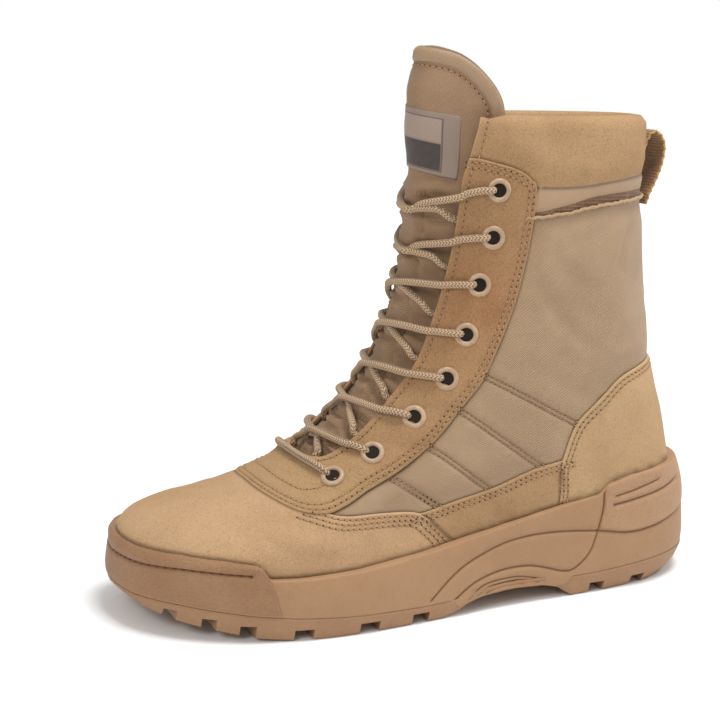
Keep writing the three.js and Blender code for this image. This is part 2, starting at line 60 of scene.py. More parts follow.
def soft_box(name, place, aim, size, power, tint=(1.0, 1.0, 1.0)):
    lamp = bpy.data.lights.new(name, "AREA")
    lamp.shape, lamp.size, lamp.energy, lamp.color = "DISK", size, power, tint
    holder = bpy.data.objects.new(name, lamp)
    holder.location = place
    holder.rotation_euler = (Vector(aim) - Vector(place)).to_track_quat("-Z", "Y").to_euler()
    bpy.context.scene.collection.objects.link(holder)


soft_box("top_light", (0.25, 0.15, 1.35), (0.0, 0.0, 0.1), 0.6, 14.5)
soft_box("toe_light", (0.75, -1.0, 0.9), (0.0, -0.05, 0.1), 0.5, 6.0, (1.0, 0.99, 0.97))
soft_box("back_light", (0.3, 1.2, 0.6), (0.0, 0.05, 0.12), 0.6, 4.6)


# ------------------------------------------------------------------ node writing
class Value:
    """One shader number; arithmetic on it adds the matching Math node."""

    def __init__(self, paint, socket):
        self.paint, self.socket = paint, socket

    def _math(self, operation, *others):
        return self.paint.add("ShaderNodeMath", {"operation": operation}, *others)

    def __add__(self, other): return self._math("ADD", self, other)
    def __radd__(self, other): return self._math("ADD", other, self)
    def __sub__(self, other): return self._math("SUBTRACT", self, other)
    def __rsub__(self, other): return self._math("SUBTRACT", other, self)
    def __mul__(self, other): return self._math("MULTIPLY", self, other)
    def __rmul__(self, other): return self._math("MULTIPLY", other, self)
    def __pow__(self, other): return self._math("POWER", self, other)
    def __gt__(self, other): return self._math("GREATER_THAN", self, other)
    def sine(self): return self._math("SINE", self)
    def size(self): return self._math("ABSOLUTE", self)
    def part(self): return self._math("FRACT", self)
    def whole(self): return self._math("FLOOR", self)
    def most(self, other): return self._math("MAXIMUM", self, other)
    def least(self, other): return self._math("MINIMUM", self, other)

    def ramp(self, low, high):
        """Smooth rise from 0 at low to 1 at high."""
        return self.paint.add("ShaderNodeMapRange", {"interpolation_type": "SMOOTHSTEP"},
                              self, low, high, 0.0, 1.0)


class Nodes:
    """A node tree that is written with add and put."""

    def __init__(self, tree):
        self.tree = tree

    def put(self, node, key, value):
        if isinstance(value, Value):
            value = value.socket
        if isinstance(value, bpy.types.NodeSocket):
            self.tree.links.new(value, node.inputs[key])
        else:
            node.inputs[key].default_value = value

    def add(self, kind, settings, *values, out=0, at=(), **named):
        """A new node: its settings first, then its sockets in order, by number (at) or by name."""
        node = self.tree.nodes.new(kind)
        for key, value in settings.items():
            setattr(node, key, value)
        sockets = [*enumerate(values), *dict(at).items()]
        sockets += [(key.replace("_", " "), value) for key, value in named.items()]
        for key, value in sockets:
            self.put(node, key, value)
        return Value(self, node.outputs[out])


class Paint(Nodes):
    """One material, built node by node."""

    def __init__(self, name, color, roughness=0.8, **fixed):
        self.material = bpy.data.materials.new(name)
        self.material.use_nodes = True
        super().__init__(self.material.node_tree)
        self.shader = self.tree.nodes["Principled BSDF"]
        self.material.diffuse_color = (*color, 1.0)
        self.shader.inputs["Base Color"].default_value = (*color, 1.0)
        self.shader.inputs["Roughness"].default_value = roughness
        for socket, value in fixed.items():
            self.shader.inputs[socket.replace("_", " ")].default_value = value

    def place(self):
        """Object coordinates in millimetres."""
        spot = self.add("ShaderNodeTexCoord", {}, out="Object")
        return self.add("ShaderNodeVectorMath", {"operation": "SCALE"}, spot, Scale=1 / MM)

    def chart(self):
        """The piece's own flat pattern, in millimetres."""
        both = self.add("ShaderNodeSeparateXYZ", {}, self.add("ShaderNodeTexCoord", {}, out="UV"))
        return tuple(Value(self, both.socket.node.outputs[k]) for k in (0, 1))

    def mark(self, name):
        """A number that the mesh carries at each of its points."""
        return self.add("ShaderNodeAttribute", {"attribute_name": name}, out="Fac")

    def noise(self, spot, scale, detail=3.0, rough=0.55, warp=0.0):
        return self.add("ShaderNodeTexNoise", {}, Vector=spot, Scale=scale, Detail=detail,
                        Roughness=rough, Distortion=warp)

    def cells(self, spot, scale, feature="F1"):
        return self.add("ShaderNodeTexVoronoi", {"feature": feature}, Vector=spot, Scale=scale)

    def mix(self, share, first, second):
        colors = [(*c, 1.0) if isinstance(c, tuple) else c for c in (first, second)]
        return self.add("ShaderNodeMix", {"data_type": "RGBA"}, share, out=2, at={6: colors[0], 7: colors[1]})

    def finish(self, color, roughness=None, bump=None, depth=0.3, metallic=None):
        self.put(self.shader, "Base Color", color)
        if roughness is not None:
            self.put(self.shader, "Roughness", roughness)
        if metallic is not None:
            self.put(self.shader, "Metallic", metallic)
        if bump is not None:
            relief = self.add("ShaderNodeBump", {}, out="Normal", Strength=1.0, Distance=depth * MM,
                              Height=bump)
            self.put(self.shader, "Normal", relief)
        return self.material


def linear(step):
    """One 0-255 display step as linear light."""
    share = step / 255
    return share / 12.92 if step <= 10 else ((share + 0.055) / 1.055) ** 2.4


def tone(red, green, blue):
    """A colour named in 0-255 display steps, as the shader's linear light."""
    return tuple(linear(step) for step in (red, green, blue))


def dimmed(color, red, green=None, blue=None):
    """A colour with each of its lights multiplied by a share."""
    shares = (red, red if green is None else green, red if blue is None else blue)
    return tuple(c * share for c, share in zip(color, shares))


def wave(at, pitch):
    """Soft rows from 0 to 1, a pitch apart."""
    return (at * (2 * math.pi / pitch)).sine() * 0.5 + 0.5


# a white room: the camera sees it at full strength, the boot is lit by about half of it
ROOM_SEEN, ROOM_LIGHT = 1.0, 0.54
world = bpy.data.worlds.new("soft_studio")
bpy.context.scene.world = world
world.use_nodes = True
room = Nodes(world.node_tree)
background = world.node_tree.nodes["Background"]
background.inputs["Color"].default_value = (1.0, 1.0, 1.0, 1.0)
by_camera = room.add("ShaderNodeLightPath", {}, out="Is Camera Ray")
room.put(background, "Strength", room.add("ShaderNodeMapRange", {}, by_camera,
                                          To_Min=ROOM_LIGHT, To_Max=ROOM_SEEN))


# ------------------------------------------------------------------ finishes
def suede(name, base, dark, light, nap=1.0, drift=()):
    """Rough-side leather: cloudy nap, fine fibre grain, paler raw edge, and painted shade along the seams, in
    the stitch channels and on the cut edge's wall.
    """
    p = Paint(name, base, 0.92, Sheen_Weight=0.22, Sheen_Roughness=0.5, Specular_IOR_Level=0.2)
    p.shader.inputs["Sheen Tint"].default_value = (*light, 1.0)
    spot = p.place()
    clouds = p.noise(spot, 0.022, 3.0, 0.55, 0.3)
    patches = p.noise(spot, 0.11, 3.0, 0.6)
    for first, full, ebb, last, tint in drift:  # the hide's tone changes along the cut piece
        down = p.chart()[1] + (clouds - 0.5) * 60.0
        base = p.mix(down.ramp(first, full) * (1 - down.ramp(ebb, last)), base, tint)
    fibre = p.noise(spot, 1.0, 4.0, 0.8)
    fleck = p.noise(spot, 1.5, 2.0, 0.7)
    color = p.mix(clouds.ramp(0.36, 0.66) * 0.35, base, light)
    color = p.mix(patches.ramp(0.5, 0.75) * 0.14, color, dark)
    color = p.mix(fibre.ramp(0.47, 0.72) * 0.55 * nap, color, dark)
    color = p.mix(fleck.ramp(0.5, 0.74) * 0.55 * nap, color, light)
    edge, shade, groove_shade = p.mark("edge"), p.mark("shade"), p.mark("groove_shade")
    color = p.mix((1 - edge.ramp(0.2, 1.1)) * 0.4, color, light)
    # painted shade: darker in the stitch channels (pressed nap and shade), along seams, just above the sole and
    # on the cut edge's wall
    color = p.mix(groove_shade * 0.3, color, dark)
    color = p.mix(shade.most((0 - edge).ramp(0.1, 0.5)) * 0.85, color, dimmed(dark, 0.45))
    height = fibre * 0.6 + fleck * 0.5 + patches * 0.5
    return p.finish(color, 0.97 - patches * 0.12, height, 0.42 * nap)


def twill(name, base, dark, light, pitch=1.25, worn=0.25):
    """Heavy nylon: fine diagonal ribs of small yarns, slightly streaked, with painted shade in the quilting
    channels and along the seams.
    """
    p = Paint(name, base, 0.72, Sheen_Weight=0.12, Sheen_Roughness=0.4, Specular_IOR_Level=0.35)
    u, v = p.chart()
    spot = p.place()
    weave = wave(u + v, pitch) * 0.55 + wave(u - v, pitch * 0.62) * 0.45
    streaks = p.noise(p.add("ShaderNodeMapping", {}, spot, Scale=(0.25, 0.25, 1.8)), 0.5, 3.0, 0.6)
    clouds = p.noise(spot, 0.035, 3.0, 0.55)
    color = p.mix(clouds.ramp(0.35, 0.68) * 0.55, base, light)
    color = p.mix((1 - weave) * 0.5, color, dark)
    color = p.mix(streaks.ramp(0.55, 0.8) * worn, color, light)
    # painted shade: darker in the quilting channels, along seams and just above the sole
    color = p.mix(p.mark("groove_shade") * 0.5, color, dark)
    color = p.mix(p.mark("shade") * 0.8, color, dimmed(dark, 0.5))
    return p.finish(color, 0.78 - weave * 0.12, weave, 0.16)


def rubber(name, base, dark, light, grain=0.14):
    """Moulded sole rubber: satin, faintly mottled, a little scuffed on proud edges, with painted shade in its
    channels.
    """
    p = Paint(name, base, 0.58, Specular_IOR_Level=0.38)
    spot = p.place()
    clouds = p.noise(spot, 0.03, 3.0, 0.6, 0.5)
    haze = p.noise(spot, 0.3, 4.0, 0.65)
    pebble = p.cells(spot, 1.1)
    dust = p.noise(spot, 2.2, 3.0, 0.7)
    color = p.mix(clouds.ramp(0.32, 0.7) * 0.3, base, light)
    color = p.mix(haze.ramp(0.5, 0.75) * 0.13, color, dark)
    color = p.mix(dust.ramp(0.55, 0.8) * 0.12, color, light)
    color = p.mix(pebble.ramp(0.3, 0.8) * 0.55 * grain, color, dark)
    # painted shade: the channels and slits darker
    color = p.mix(p.mark("groove_shade").ramp(0.2, 0.95) * 0.85, color, dimmed(dark, 0.85, 0.7, 0.6))
    return p.finish(color, 0.5 + haze * 0.18, pebble * 0.5 + dust * 0.5, grain)


def smooth_lining(name, base, dark, light):
    """Soft synthetic leather binding: fine crackle grain and gentle shine."""
    p = Paint(name, base, 0.5, Specular_IOR_Level=0.4)
    spot = p.place()
    crackle = p.cells(spot, 0.9, "DISTANCE_TO_EDGE")
    clouds = p.noise(spot, 0.06, 3.0, 0.6)
    fine = p.noise(spot, 2.5, 2.0, 0.6)
    color = p.mix(clouds.ramp(0.35, 0.68) * 0.35, base, light)
    color = p.mix((1 - crackle.ramp(0.0, 0.12)) * 0.25, color, dark)
    color = p.mix(fine.ramp(0.6, 0.8) * 0.2, color, dark)
    return p.finish(color, 0.45 + clouds * 0.2, crackle.ramp(0.0, 0.2) * 0.6 + fine * 0.4, 0.08)


def mesh_lining(name, base, dark, light):
    """Open spacer mesh: small round holes, painted dark as their shade, in a knitted ground."""
    p = Paint(name, base, 0.85, Sheen_Weight=0.15, Sheen_Roughness=0.5)
    spot = p.place()
    holes = p.cells(spot, 0.55)
    knit = p.noise(spot, 2.4, 2.0, 0.6)
    # painted shade: the holes darker
    color = p.mix(1 - holes.ramp(0.18, 0.42), base, dark)
    color = p.mix(knit.ramp(0.5, 0.75) * 0.3, color, light)
    return p.finish(color, 0.85 + knit * 0.1, holes.ramp(0.15, 0.5) * 0.8 + knit * 0.2, 0.35)


def braid(name, base, dark, light, turn=1.5):
    """Round braided cord: rows of chevron strands painted lighter on their crowns as a highlight and darker
    between strands and rows as shade, every third row flecked darker.
    """
    p = Paint(name, base, 0.8, Sheen_Weight=0.15, Sheen_Roughness=0.4, Specular_IOR_Level=0.3)
    along, round_at = p.chart()
    rows = round_at * 5.0
    slope = (rows.part() - 0.5).size() * 2.0
    strand = ((along * (1 / turn) + slope * 0.8).part() - 0.5).size() * 2.0
    seams = slope.ramp(0.8, 1.0).most((1 - slope).ramp(0.85, 1.0))
    flecked = ((along * (0.5 / turn) + slope * 0.4).part() > 0.5) * ((rows.whole() * 0.34).part() > 0.6)
    # painted highlight on the strand crowns, painted shade between strands and between rows
    color = p.mix((1 - strand).ramp(0.35, 1.0) * 0.75, base, light)
    color = p.mix(strand.ramp(0.5, 0.95) * 0.95, color, dark)
    color = p.mix(seams * 0.35, color, dark)
    color = p.mix(flecked * 0.45, color, dark)
    return p.finish(color, 0.82 - strand * 0.08, (1 - strand ** 2.0) * (1 - seams * 0.5), 0.3)


def thread(name, base, dark, fuzz=0.1):
    """Sewing thread: twisted, slightly fuzzy."""
    p = Paint(name, base, 0.7, Sheen_Weight=fuzz, Specular_IOR_Level=0.2)
    twist = p.noise(p.place(), 2.6, 2.0, 0.6)
    return p.finish(p.mix(twist.ramp(0.4, 0.7) * 0.5, base, dark), 0.65 + twist * 0.15, twist, 0.08)


def enamel(name, base, dark, light):
    """Painted metal ring: smooth enamel with a few rubbed places."""
    p = Paint(name, base, 0.34, Specular_IOR_Level=0.5)
    spot = p.place()
    clouds = p.noise(spot, 0.25, 3.0, 0.6)
    rub = p.noise(spot, 0.9, 4.0, 0.7)
    color = p.mix(clouds.ramp(0.4, 0.65) * 0.5, base, light)
    color = p.mix(rub.ramp(0.62, 0.75) * 0.35, color, dark)
    return p.finish(color, 0.3 + rub * 0.2, clouds * 0.5 + rub * 0.5, 0.04, rub.ramp(0.7, 0.8) * 0.5)


def webbing(name, base, dark, light, pitch=1.6):
    """Woven tape: rows of small floats across the width."""
    p = Paint(name, base, 0.82, Sheen_Weight=0.15, Sheen_Roughness=0.4)
    u, v = p.chart()
    floats = wave(u + (v * (1 / pitch)).whole() * 0.8, 1.6)
    weave = wave(v, pitch) * 0.6 + floats * 0.4
    worn = p.noise(p.place(), 0.12, 3.0, 0.6)
    color = p.mix((1 - weave) * 0.5, base, dark)
    color = p.mix(worn.ramp(0.45, 0.7) * 0.5, color, light)
    return p.finish(color, 0.84 - weave * 0.08, weave, 0.3)


def woven_patch(name, ground, shade, block):
    """Generic two-tone woven label: a plain frame round a lighter upper and a darker lower field."""
    p = Paint(name, ground, 0.7, Sheen_Weight=0.1)
    across, down = p.chart()
    ribs, yarns = wave(down, 1 / 52), wave(across, 1 / 60)
    cloud = p.noise(p.place(), 0.3, 2.0, 0.5)

    def field(top, foot):
        """How far inside one field of the label, in shares of its size."""
        return (across - 0.07).least(0.80 - across).least(down - top).least(foot - down)

    inner, upper, lower = field(0.09, 0.93), field(0.09, 0.47), field(0.49, 0.93)
    color = p.mix(inner.ramp(-0.022, -0.014) * (1 - inner.ramp(-0.004, 0.004)) * 0.75, ground, shade)
    color = p.mix(upper.ramp(0.0, 0.01), color, dimmed(ground, 1.25))
    color = p.mix(lower.ramp(0.0, 0.01), color, block)
    color = p.mix((1 - ribs) * 0.22, color, shade)
    color = p.mix(cloud.ramp(0.3, 0.7) * 0.05, color, ground)
    return p.finish(color, 0.72 - ribs * 0.08, ribs * 0.6 + yarns * 0.4, 0.08)


VAMP_SUEDE = suede("vamp_suede", tone(167, 134, 99), tone(124, 92, 62), tone(194, 163, 127))
FACING_SUEDE = suede("facing_suede", tone(147, 113, 80), tone(98, 70, 45), tone(174, 142, 104), 1.25,
                     [(30.0, 70.0, 90.0, 125.0, tone(144, 103, 70)),
                      (125.0, 165.0, 900.0, 901.0, tone(160, 129, 92))])
COLLAR_SUEDE = suede("collar_suede", tone(154, 122, 88), tone(110, 80, 53), tone(182, 150, 111), 1.1)
BAND_SUEDE = suede("band_suede", tone(152, 120, 87), tone(106, 77, 51), tone(176, 144, 108))
COUNTER_SUEDE = suede("counter_suede", tone(167, 137, 101), tone(126, 95, 64), tone(190, 161, 124))
QUARTER_NYLON = twill("quarter_nylon", tone(158, 132, 103), tone(108, 83, 59), tone(176, 149, 119))
TONGUE_NYLON = twill("tongue_nylon", tone(142, 113, 84), tone(84, 60, 40), tone(164, 134, 104), 1.3)
STRIP_NYLON = twill("strip_nylon", tone(167, 139, 108), tone(126, 98, 72), tone(182, 154, 124), 0.8)
TRIM_RIBBON = webbing("trim_ribbon", tone(112, 82, 56), tone(62, 42, 26), tone(140, 108, 80), 1.4)
PIPING = thread("piping", tone(168, 138, 106), tone(124, 96, 68))
SOLE_RUBBER = rubber("sole_rubber", tone(152, 117, 84), tone(114, 80, 52), tone(168, 133, 100))
# painted highlight: a lighter copy of the sole rubber for the heel guard
HEEL_RUBBER_LIT = rubber("heel_rubber_lit", tone(160, 124, 92), tone(118, 84, 56), tone(178, 143, 110), 0.3)
GUARD_RUBBER = rubber("guard_rubber", tone(142, 105, 74), tone(108, 76, 50), tone(166, 131, 98), 0.4)
TREAD_RUBBER = rubber("tread_rubber", tone(148, 112, 80), tone(104, 74, 50), tone(164, 130, 100), 0.2)
BINDING = smooth_lining("tongue_binding", tone(148, 122, 95), tone(98, 74, 54), tone(160, 134, 108))
LINING = mesh_lining("shaft_lining", tone(176, 158, 142), tone(104, 84, 68), tone(206, 190, 174))
FOOTBED = mesh_lining("footbed_cloth", tone(138, 124, 108), tone(80, 66, 54), tone(162, 148, 130))
LACE_BRAID = braid("lace_braid", tone(176, 146, 114), tone(92, 66, 46), tone(204, 178, 146))
SEAM_THREAD = thread("seam_thread", tone(162, 129, 95), tone(118, 88, 60))
# painted shade: a dark finish for the discs that stand for the shade in the needle holes
NEEDLE_HOLE_SHADE = thread("needle_hole_shade", tone(70, 44, 24), tone(42, 26, 14), 0.0)
# painted shadow: a dark finish for the discs down in the eyelets' holes
EYELET_HOLE_SHADOW = thread("eyelet_hole_shadow", tone(30, 21, 15), tone(16, 11, 8), 0.0)
RED_THREAD = thread("guard_thread", tone(96, 58, 36), tone(66, 38, 22))
EYELET_ENAMEL = enamel("eyelet_enamel", tone(158, 130, 102), tone(112, 86, 62), tone(184, 158, 128))
LOOP_TAPE = webbing("loop_tape", tone(152, 118, 84), tone(98, 68, 42), tone(174, 140, 102))
LOOP_THREAD = thread("loop_thread", tone(184, 144, 84), tone(140, 102, 54))
LABEL = woven_patch("tongue_patch", tone(134, 116, 103), tone(70, 57, 52), tone(54, 44, 41))

# ------------------------------------------------------------------ the last
# A fan of flat sections from the collar round to the toe: front ridge y,z; back ridge y,z;
# depth of the rounding at each ridge; ridge x; half-widths lateral and medial; wall.
LAST = np.array([
    (-12, 231.5, 109.5, 234.5, 60, 56, 0, 36.5, 35.5, 35.5, 35, 7),
    (-13.5, 211, 111, 210, 62, 58, 0, 38.5, 37, 37.5, 37, 6.5),
    (-15, 189, 112.5, 186, 62, 58, 0, 38.5, 37, 37.5, 36.5, 4.2),
    (-16, 166, 115.3, 159, 62, 54, 0, 38.5, 36.5, 37, 36, 4),
    (-19, 144, 119.5, 131, 58, 48, 0, 38.5, 36.5, 36.5, 35.5, 4),
    (-25.5, 123, 126, 104, 52, 44, 0, 39, 37, 35.5, 34.5, 3.8),
    (-35.5, 103.5, 134, 78, 47, 40, 0, 40, 38, 34.5, 34, 3.6),
    (-48, 88.5, 140.5, 50, 44, 38, -1, 41.5, 39.5, 34, 33.5, 3.4),
    (-60.5, 78, 140, 25, 42, 34, -1.5, 43.5, 40, 33.5, 32, 3.2),
    (-73.5, 69.7, 110, 17, 40, 16, -2, 45.5, 40.5, 34.5, 32, 2.8),
    (-85, 63.3, 62, 15.5, 38, 11, -3, 47, 42.5, 38.5, 32, 2.6),
    (-97, 59.2, 8, 15.5, 37, 10, -4, 48.5, 44.5, 44.5, 35.5, 2.6),
    (-109.5, 56.4, -42, 12.5, 36, 10, -5.5, 47.6, 47, 48.6, 42.5, 2.6),
    (-121.5, 54, -88, 15, 34, 10, -7, 43, 47, 44, 46.5, 2.6),
    (-132.3, 51.3, -117, 18, 30, 10, -8.5, 33.8, 42.5, 34.6, 42, 2.6),
    (-141, 47.8, -136, 20.5, 24, 10, -10, 21.8, 36, 22.2, 35, 2.6),
    (-147, 43, -146.5, 23.5, 16, 10, -11, 7, 26, 7.4, 25.5, 2.6),
    (-150, 36.5, -149.8, 28, 8, 6, -12, -11, 13, -11, 13, 2.6)], float)
STATION_ABOVE = 23.0  # millimetres in one station above the collar
LEAN_ABOVE = 1.5  # and how far it leans forward there
ROUNDING = 2.15  # fullness of the rounding at the ridges: 2 would be a circle


def between(a, b, c, d, t):
    """Smooth curve from b (t = 0) to c (t = 1), with a and d as the neighbours."""
    return 0.5 * (2 * b + (c - a) * t + (2 * a - 5 * b + 4 * c - d) * t**2 + (3 * b - a - 3 * c + d) * t**3)


def last_row(s):
    """The numbers of one section of the last, smoothly between the rows of the table."""
    top = len(LAST) - 1
    s = np.clip(s, 0, top)
    i = np.minimum(np.floor(s).astype(int), top - 1)
    t = (s - i)[..., None]
    b, c = LAST[i], LAST[i + 1]
    a = np.where((i > 0)[..., None], LAST[np.maximum(i - 1, 0)], 2 * b - c)
    d = np.where((i < top - 1)[..., None], LAST[np.minimum(i + 2, top)], 2 * c - b)
    return between(a, b, c, d, t)


def rounded(u):
    return (1 - (1 - np.clip(u, 0, 1)) ** ROUNDING) ** (1 / ROUNDING)


def skin(s, a):
    """A point of the last: s is the station, a the place round it.

    a runs from the front ridge (0) over the lateral side to the back (1), and negative on the medial side.
    """
    s, a = np.broadcast_arrays(np.asarray(s, float), np.asarray(a, float))
    a = (a + 1) % 2 - 1
    row = last_row(s)
    y_f, z_f, y_b, z_b, r_f, r_b, ridge, lat_f, med_f, lat_b, med_b = (row[..., k] for k in range(11))
    tau = (1 - np.cos(np.pi * np.abs(a))) / 2
    span = np.hypot(y_b - y_f, z_b - z_f)
    at_front = rounded(tau * span / np.minimum(r_f, span * 0.6))
    bulge = at_front * rounded((1 - tau) * span / np.minimum(r_b, span * 0.6))
    side = np.where(a >= 0, lat_f + (lat_b - lat_f) * tau, -(med_f + (med_b - med_f) * tau))
    above = np.minimum(s, 0)
    return np.stack([ridge + (side - ridge) * bulge,
                     y_f + (y_b - y_f) * tau + LEAN_ABOVE * above,
                     z_f + (z_b - z_f) * tau - STATION_ABOVE * above], -1)


def unit(v):
    """Vectors of length one."""
    return v / (np.linalg.norm(v, axis=-1, keepdims=True) + 1e-12)


def outward(s, a, reach=0.004):
    """The way out from the last."""
    along = skin(s + reach, a) - skin(s - reach, a)
    across = skin(s, a + reach) - skin(s, a - reach)
    return unit(np.cross(along, across))


def on_last(s, a, h):
    """A point standing h out from the last."""
    return skin(s, a) + outward(s, a) * np.asarray(h, float)[..., None]


def wall_at(s):
    """Thickness of the upper."""
    return last_row(np.asarray(s, float))[..., 11]


# ------------------------------------------------------------------ the sole's side
SOLE_TOE, SOLE_HEEL = (-12.0, -153.0), (-0.5, 155.5)
# y, lateral x, medial x
SOLE_PLAN = np.array([
    (-150, 7, -29), (-145, 18, -37.5), (-135, 29.5, -44), (-120, 40, -48.5), (-100, 48.5, -50.8),
    (-75, 53.3, -50.8), (-50, 53.6, -48.3), (-25, 51, -44.6), (0, 47.8, -41.4), (25, 44.4, -39.4),
    (50, 42.2, -38.8), (75, 41.2, -38.8), (100, 40, -38.8), (120, 37, -36.3), (137, 29, -29),
    (148, 18, -19), (153.5, 8, -9)], float)
# y, ground, parting line, top, lean of the tread face, lean of the rim
SOLE_SIDE = np.array([
    (-156, 12, 15.5, 37, 4, 3.5), (-146, 10, 16, 37.5, 3, 2.8), (-134, 7.2, 15.6, 38, 2.5, 2.2),
    (-116, 4, 13.8, 36.8, 2.2, 1.8), (-102, 1.6, 12.2, 34.8, 2.2, 1.6), (-97, 1, 11.8, 28.4, 2.2, 1.6),
    (-84, 0, 10.6, 28.2, 2.2, 1.6), (-55, 0, 9, 29.5, 2.2, 1.6), (-19, 0, 8, 33.4, 2, 1.5),
    (-2, 0, 8.5, 36, 2, 1.4),
    (2.5, 4.5, 9.5, 36.8, 2, 1.4), (12, 6.8, 11.5, 38.3, 2, 1.4), (30, 8, 12.5, 41.2, 2, 1.4),
    (50, 7, 11.6, 45, 2, 1.4), (58.5, 5, 10.4, 46.5, 2, 1.6), (63, 0, 10, 47.2, 1.6, 1.7),
    (81, 0, 10.4, 50, 2.6, 1.7), (86, 0, 10.8, 55, 3, 1.8), (100, 0, 11.8, 58.5, 4.2, 1.9),
    (121, 0, 13.6, 61, 6, 2.6), (135, 0.6, 14.2, 61, 6.5, 4.6), (146, 4, 14.4, 60.5, 5.5, 7),
    (157, 8, 14.4, 60, 3, 8)], float)


def lengths_along(spots):
    """Distance from the first of a row of spots to each of them."""
    return np.concatenate([[0], np.cumsum(np.linalg.norm(np.diff(spots, axis=0), axis=1))])


def closed_curve(points, per=12):
    """Smooth curve through a closed ring of points, per steps from one to the next."""
    p = np.asarray(points, float)
    around = [np.roll(p, k, 0)[:, None, :] for k in (1, 0, -1, -2)]
    return between(*around, (np.arange(per) / per)[None, :, None]).reshape(-1, p.shape[1])


def open_curve(points, per):
    """Smooth curve through a row of points, per steps from one to the next."""
    p = np.asarray(points, float)
    ends = np.vstack([2 * p[0] - p[1], p, 2 * p[-1] - p[-2]])
    around = [ends[k:len(ends) - 3 + k][:, None, :] for k in range(4)]
    fine = between(*around, (np.arange(per) / per)[None, :, None])
    return np.vstack([fine.reshape(-1, p.shape[1]), p[-1:]])


# The outline starts at the heel, runs forward on the lateral side, round the toe and back on the medial side.
OUTLINE = closed_curve([SOLE_HEEL] + [(lat, y) for y, lat, _ in SOLE_PLAN[::-1]]
                       + [SOLE_TOE] + [(med, y) for y, _, med in SOLE_PLAN])
OUTLINE_LOOP = np.vstack([OUTLINE, OUTLINE[:1]])
OUTLINE_AT = lengths_along(OUTLINE_LOOP)
GIRTH = OUTLINE_AT[-1]
TOE_INDEX = int(np.argmin(OUTLINE[:, 1]))


def outline_point(u):
    """A plan point, u millimetres along the outline."""
    u = np.asarray(u, float) % GIRTH
    return np.stack([np.interp(u, OUTLINE_AT, OUTLINE_LOOP[:, k]) for k in (0, 1)], -1)


def outline_out(u):
    """The way out from the outline, in plan."""
    ahead = outline_point(np.asarray(u) + 1.5) - outline_point(np.asarray(u) - 1.5)
    return unit(np.stack([ahead[..., 1], -ahead[..., 0]], -1)) * -1.0


def side_at(y):
    """Ground, parting line, top and the two leans of the sole's side at y."""
    return [np.interp(y, SOLE_SIDE[:, 0], SOLE_SIDE[:, k]) for k in range(1, 6)]


def sole_wall(u, z, h):
    """A point of the sole's side: u runs along the outline, z is the height, h stands out from the side."""
    u, z = np.broadcast_arrays(np.asarray(u, float), np.asarray(z, float))
    spot = outline_point(u)
    _, parting, top, _, rim = side_at(spot[..., 1])
    v = np.clip((z - parting) / (top - parting), 0, 1)
    tall = np.maximum(top - parting, 8.0)
    foot = 4 / tall  # the lowest 4 mm stand upright, then the side leans in, most of all at the rim
    inset = np.where(v < 0.6, rim * 0.3 * np.clip((v - foot) / (0.6 - foot), 0, 1) ** 1.4,
                     rim * (0.3 + 0.7 * np.clip((v - 0.6) / 0.4, 0, 1) ** 1.5))
    inset = inset + 0.2 * np.clip(1 - v * tall / 4, 0, 1)
    out = outline_out(u)
    flat = spot + out * (np.asarray(h, float) - inset)[..., None]
    return np.concatenate([flat, z[..., None]], -1)


def lateral_u(y):
    """Place along the outline of a point of the lateral side."""
    order = np.argsort(OUTLINE[:TOE_INDEX, 1])
    return np.interp(y, OUTLINE[:TOE_INDEX, 1][order], OUTLINE_AT[:TOE_INDEX][order])


def medial_u(y):
    """Place along the outline of a point of the medial side."""
    order = np.argsort(OUTLINE[TOE_INDEX:, 1])
    return np.interp(y, OUTLINE[TOE_INDEX:, 1][order], OUTLINE_AT[TOE_INDEX:-1][order])


# ------------------------------------------------------------------ seams and panels
def spots_on(place, line, h=0.0):
    """Where the chart points of a line lie on a surface."""
    return place(line[:, 0], line[:, 1], np.full(len(line), float(h)))


def seam(points, place, step=2.0, smooth=True):
    """A line through chart points, resampled to even steps on the surface."""
    p = np.asarray(points, float)
    if smooth and len(p) > 2:
        p = open_curve(p, 12)
    else:
        t = np.linspace(0, 1, 13)[:-1, None]
        p = np.vstack([(p[i] * (1 - t) + p[i + 1] * t) for i in range(len(p) - 1)] + [p[-1:]])
    run_to = lengths_along(spots_on(place, p))
    count = max(int(round(run_to[-1] / step)), 1)
    at = np.linspace(0, run_to[-1], count + 1)
    return np.stack([np.interp(at, run_to, p[:, k]) for k in (0, 1)], -1)


def loop_of(*lines):
    """Joins seam lines end to end into one closed outline."""
    same_point = 1e-5
    out = []
    for line in lines:
        for p in line:
            if not out or np.hypot(*(p - out[-1])) > same_point:
                out.append(p)
    if np.hypot(*(out[0] - out[-1])) < same_point:
        out.pop()
    return np.array(out)


def slopes(place, p, reach=0.003):
    """The chart's two directions as millimetre vectors on the surface."""
    return [(spots_on(place, p + step) - spots_on(place, p - step)) / (2 * reach)
            for step in ((reach, 0.0), (0.0, reach))]


def sideways(place, line, distance, closed=False):
    """The chart points a set distance to the left of a line, measured on the surface."""
    ahead = np.roll(line, -1, 0) - np.roll(line, 1, 0) if closed else np.gradient(line, axis=0)
    ds, da = slopes(place, line)
    g11, g12, g22 = (ds * ds).sum(1), (ds * da).sum(1), (da * da).sum(1)
    det = np.sqrt(np.maximum(g11 * g22 - g12**2, 1e-9))
    turn_s = -(g12 * ahead[:, 0] + g22 * ahead[:, 1])
    turn_a = g11 * ahead[:, 0] + g12 * ahead[:, 1]
    turn = np.stack([turn_s, turn_a], -1) / det[:, None]
    square = g11 * turn[:, 0]**2 + 2 * g12 * turn[:, 0] * turn[:, 1] + g22 * turn[:, 1]**2
    return line + turn / np.sqrt(np.maximum(square, 1e-12))[:, None] * distance


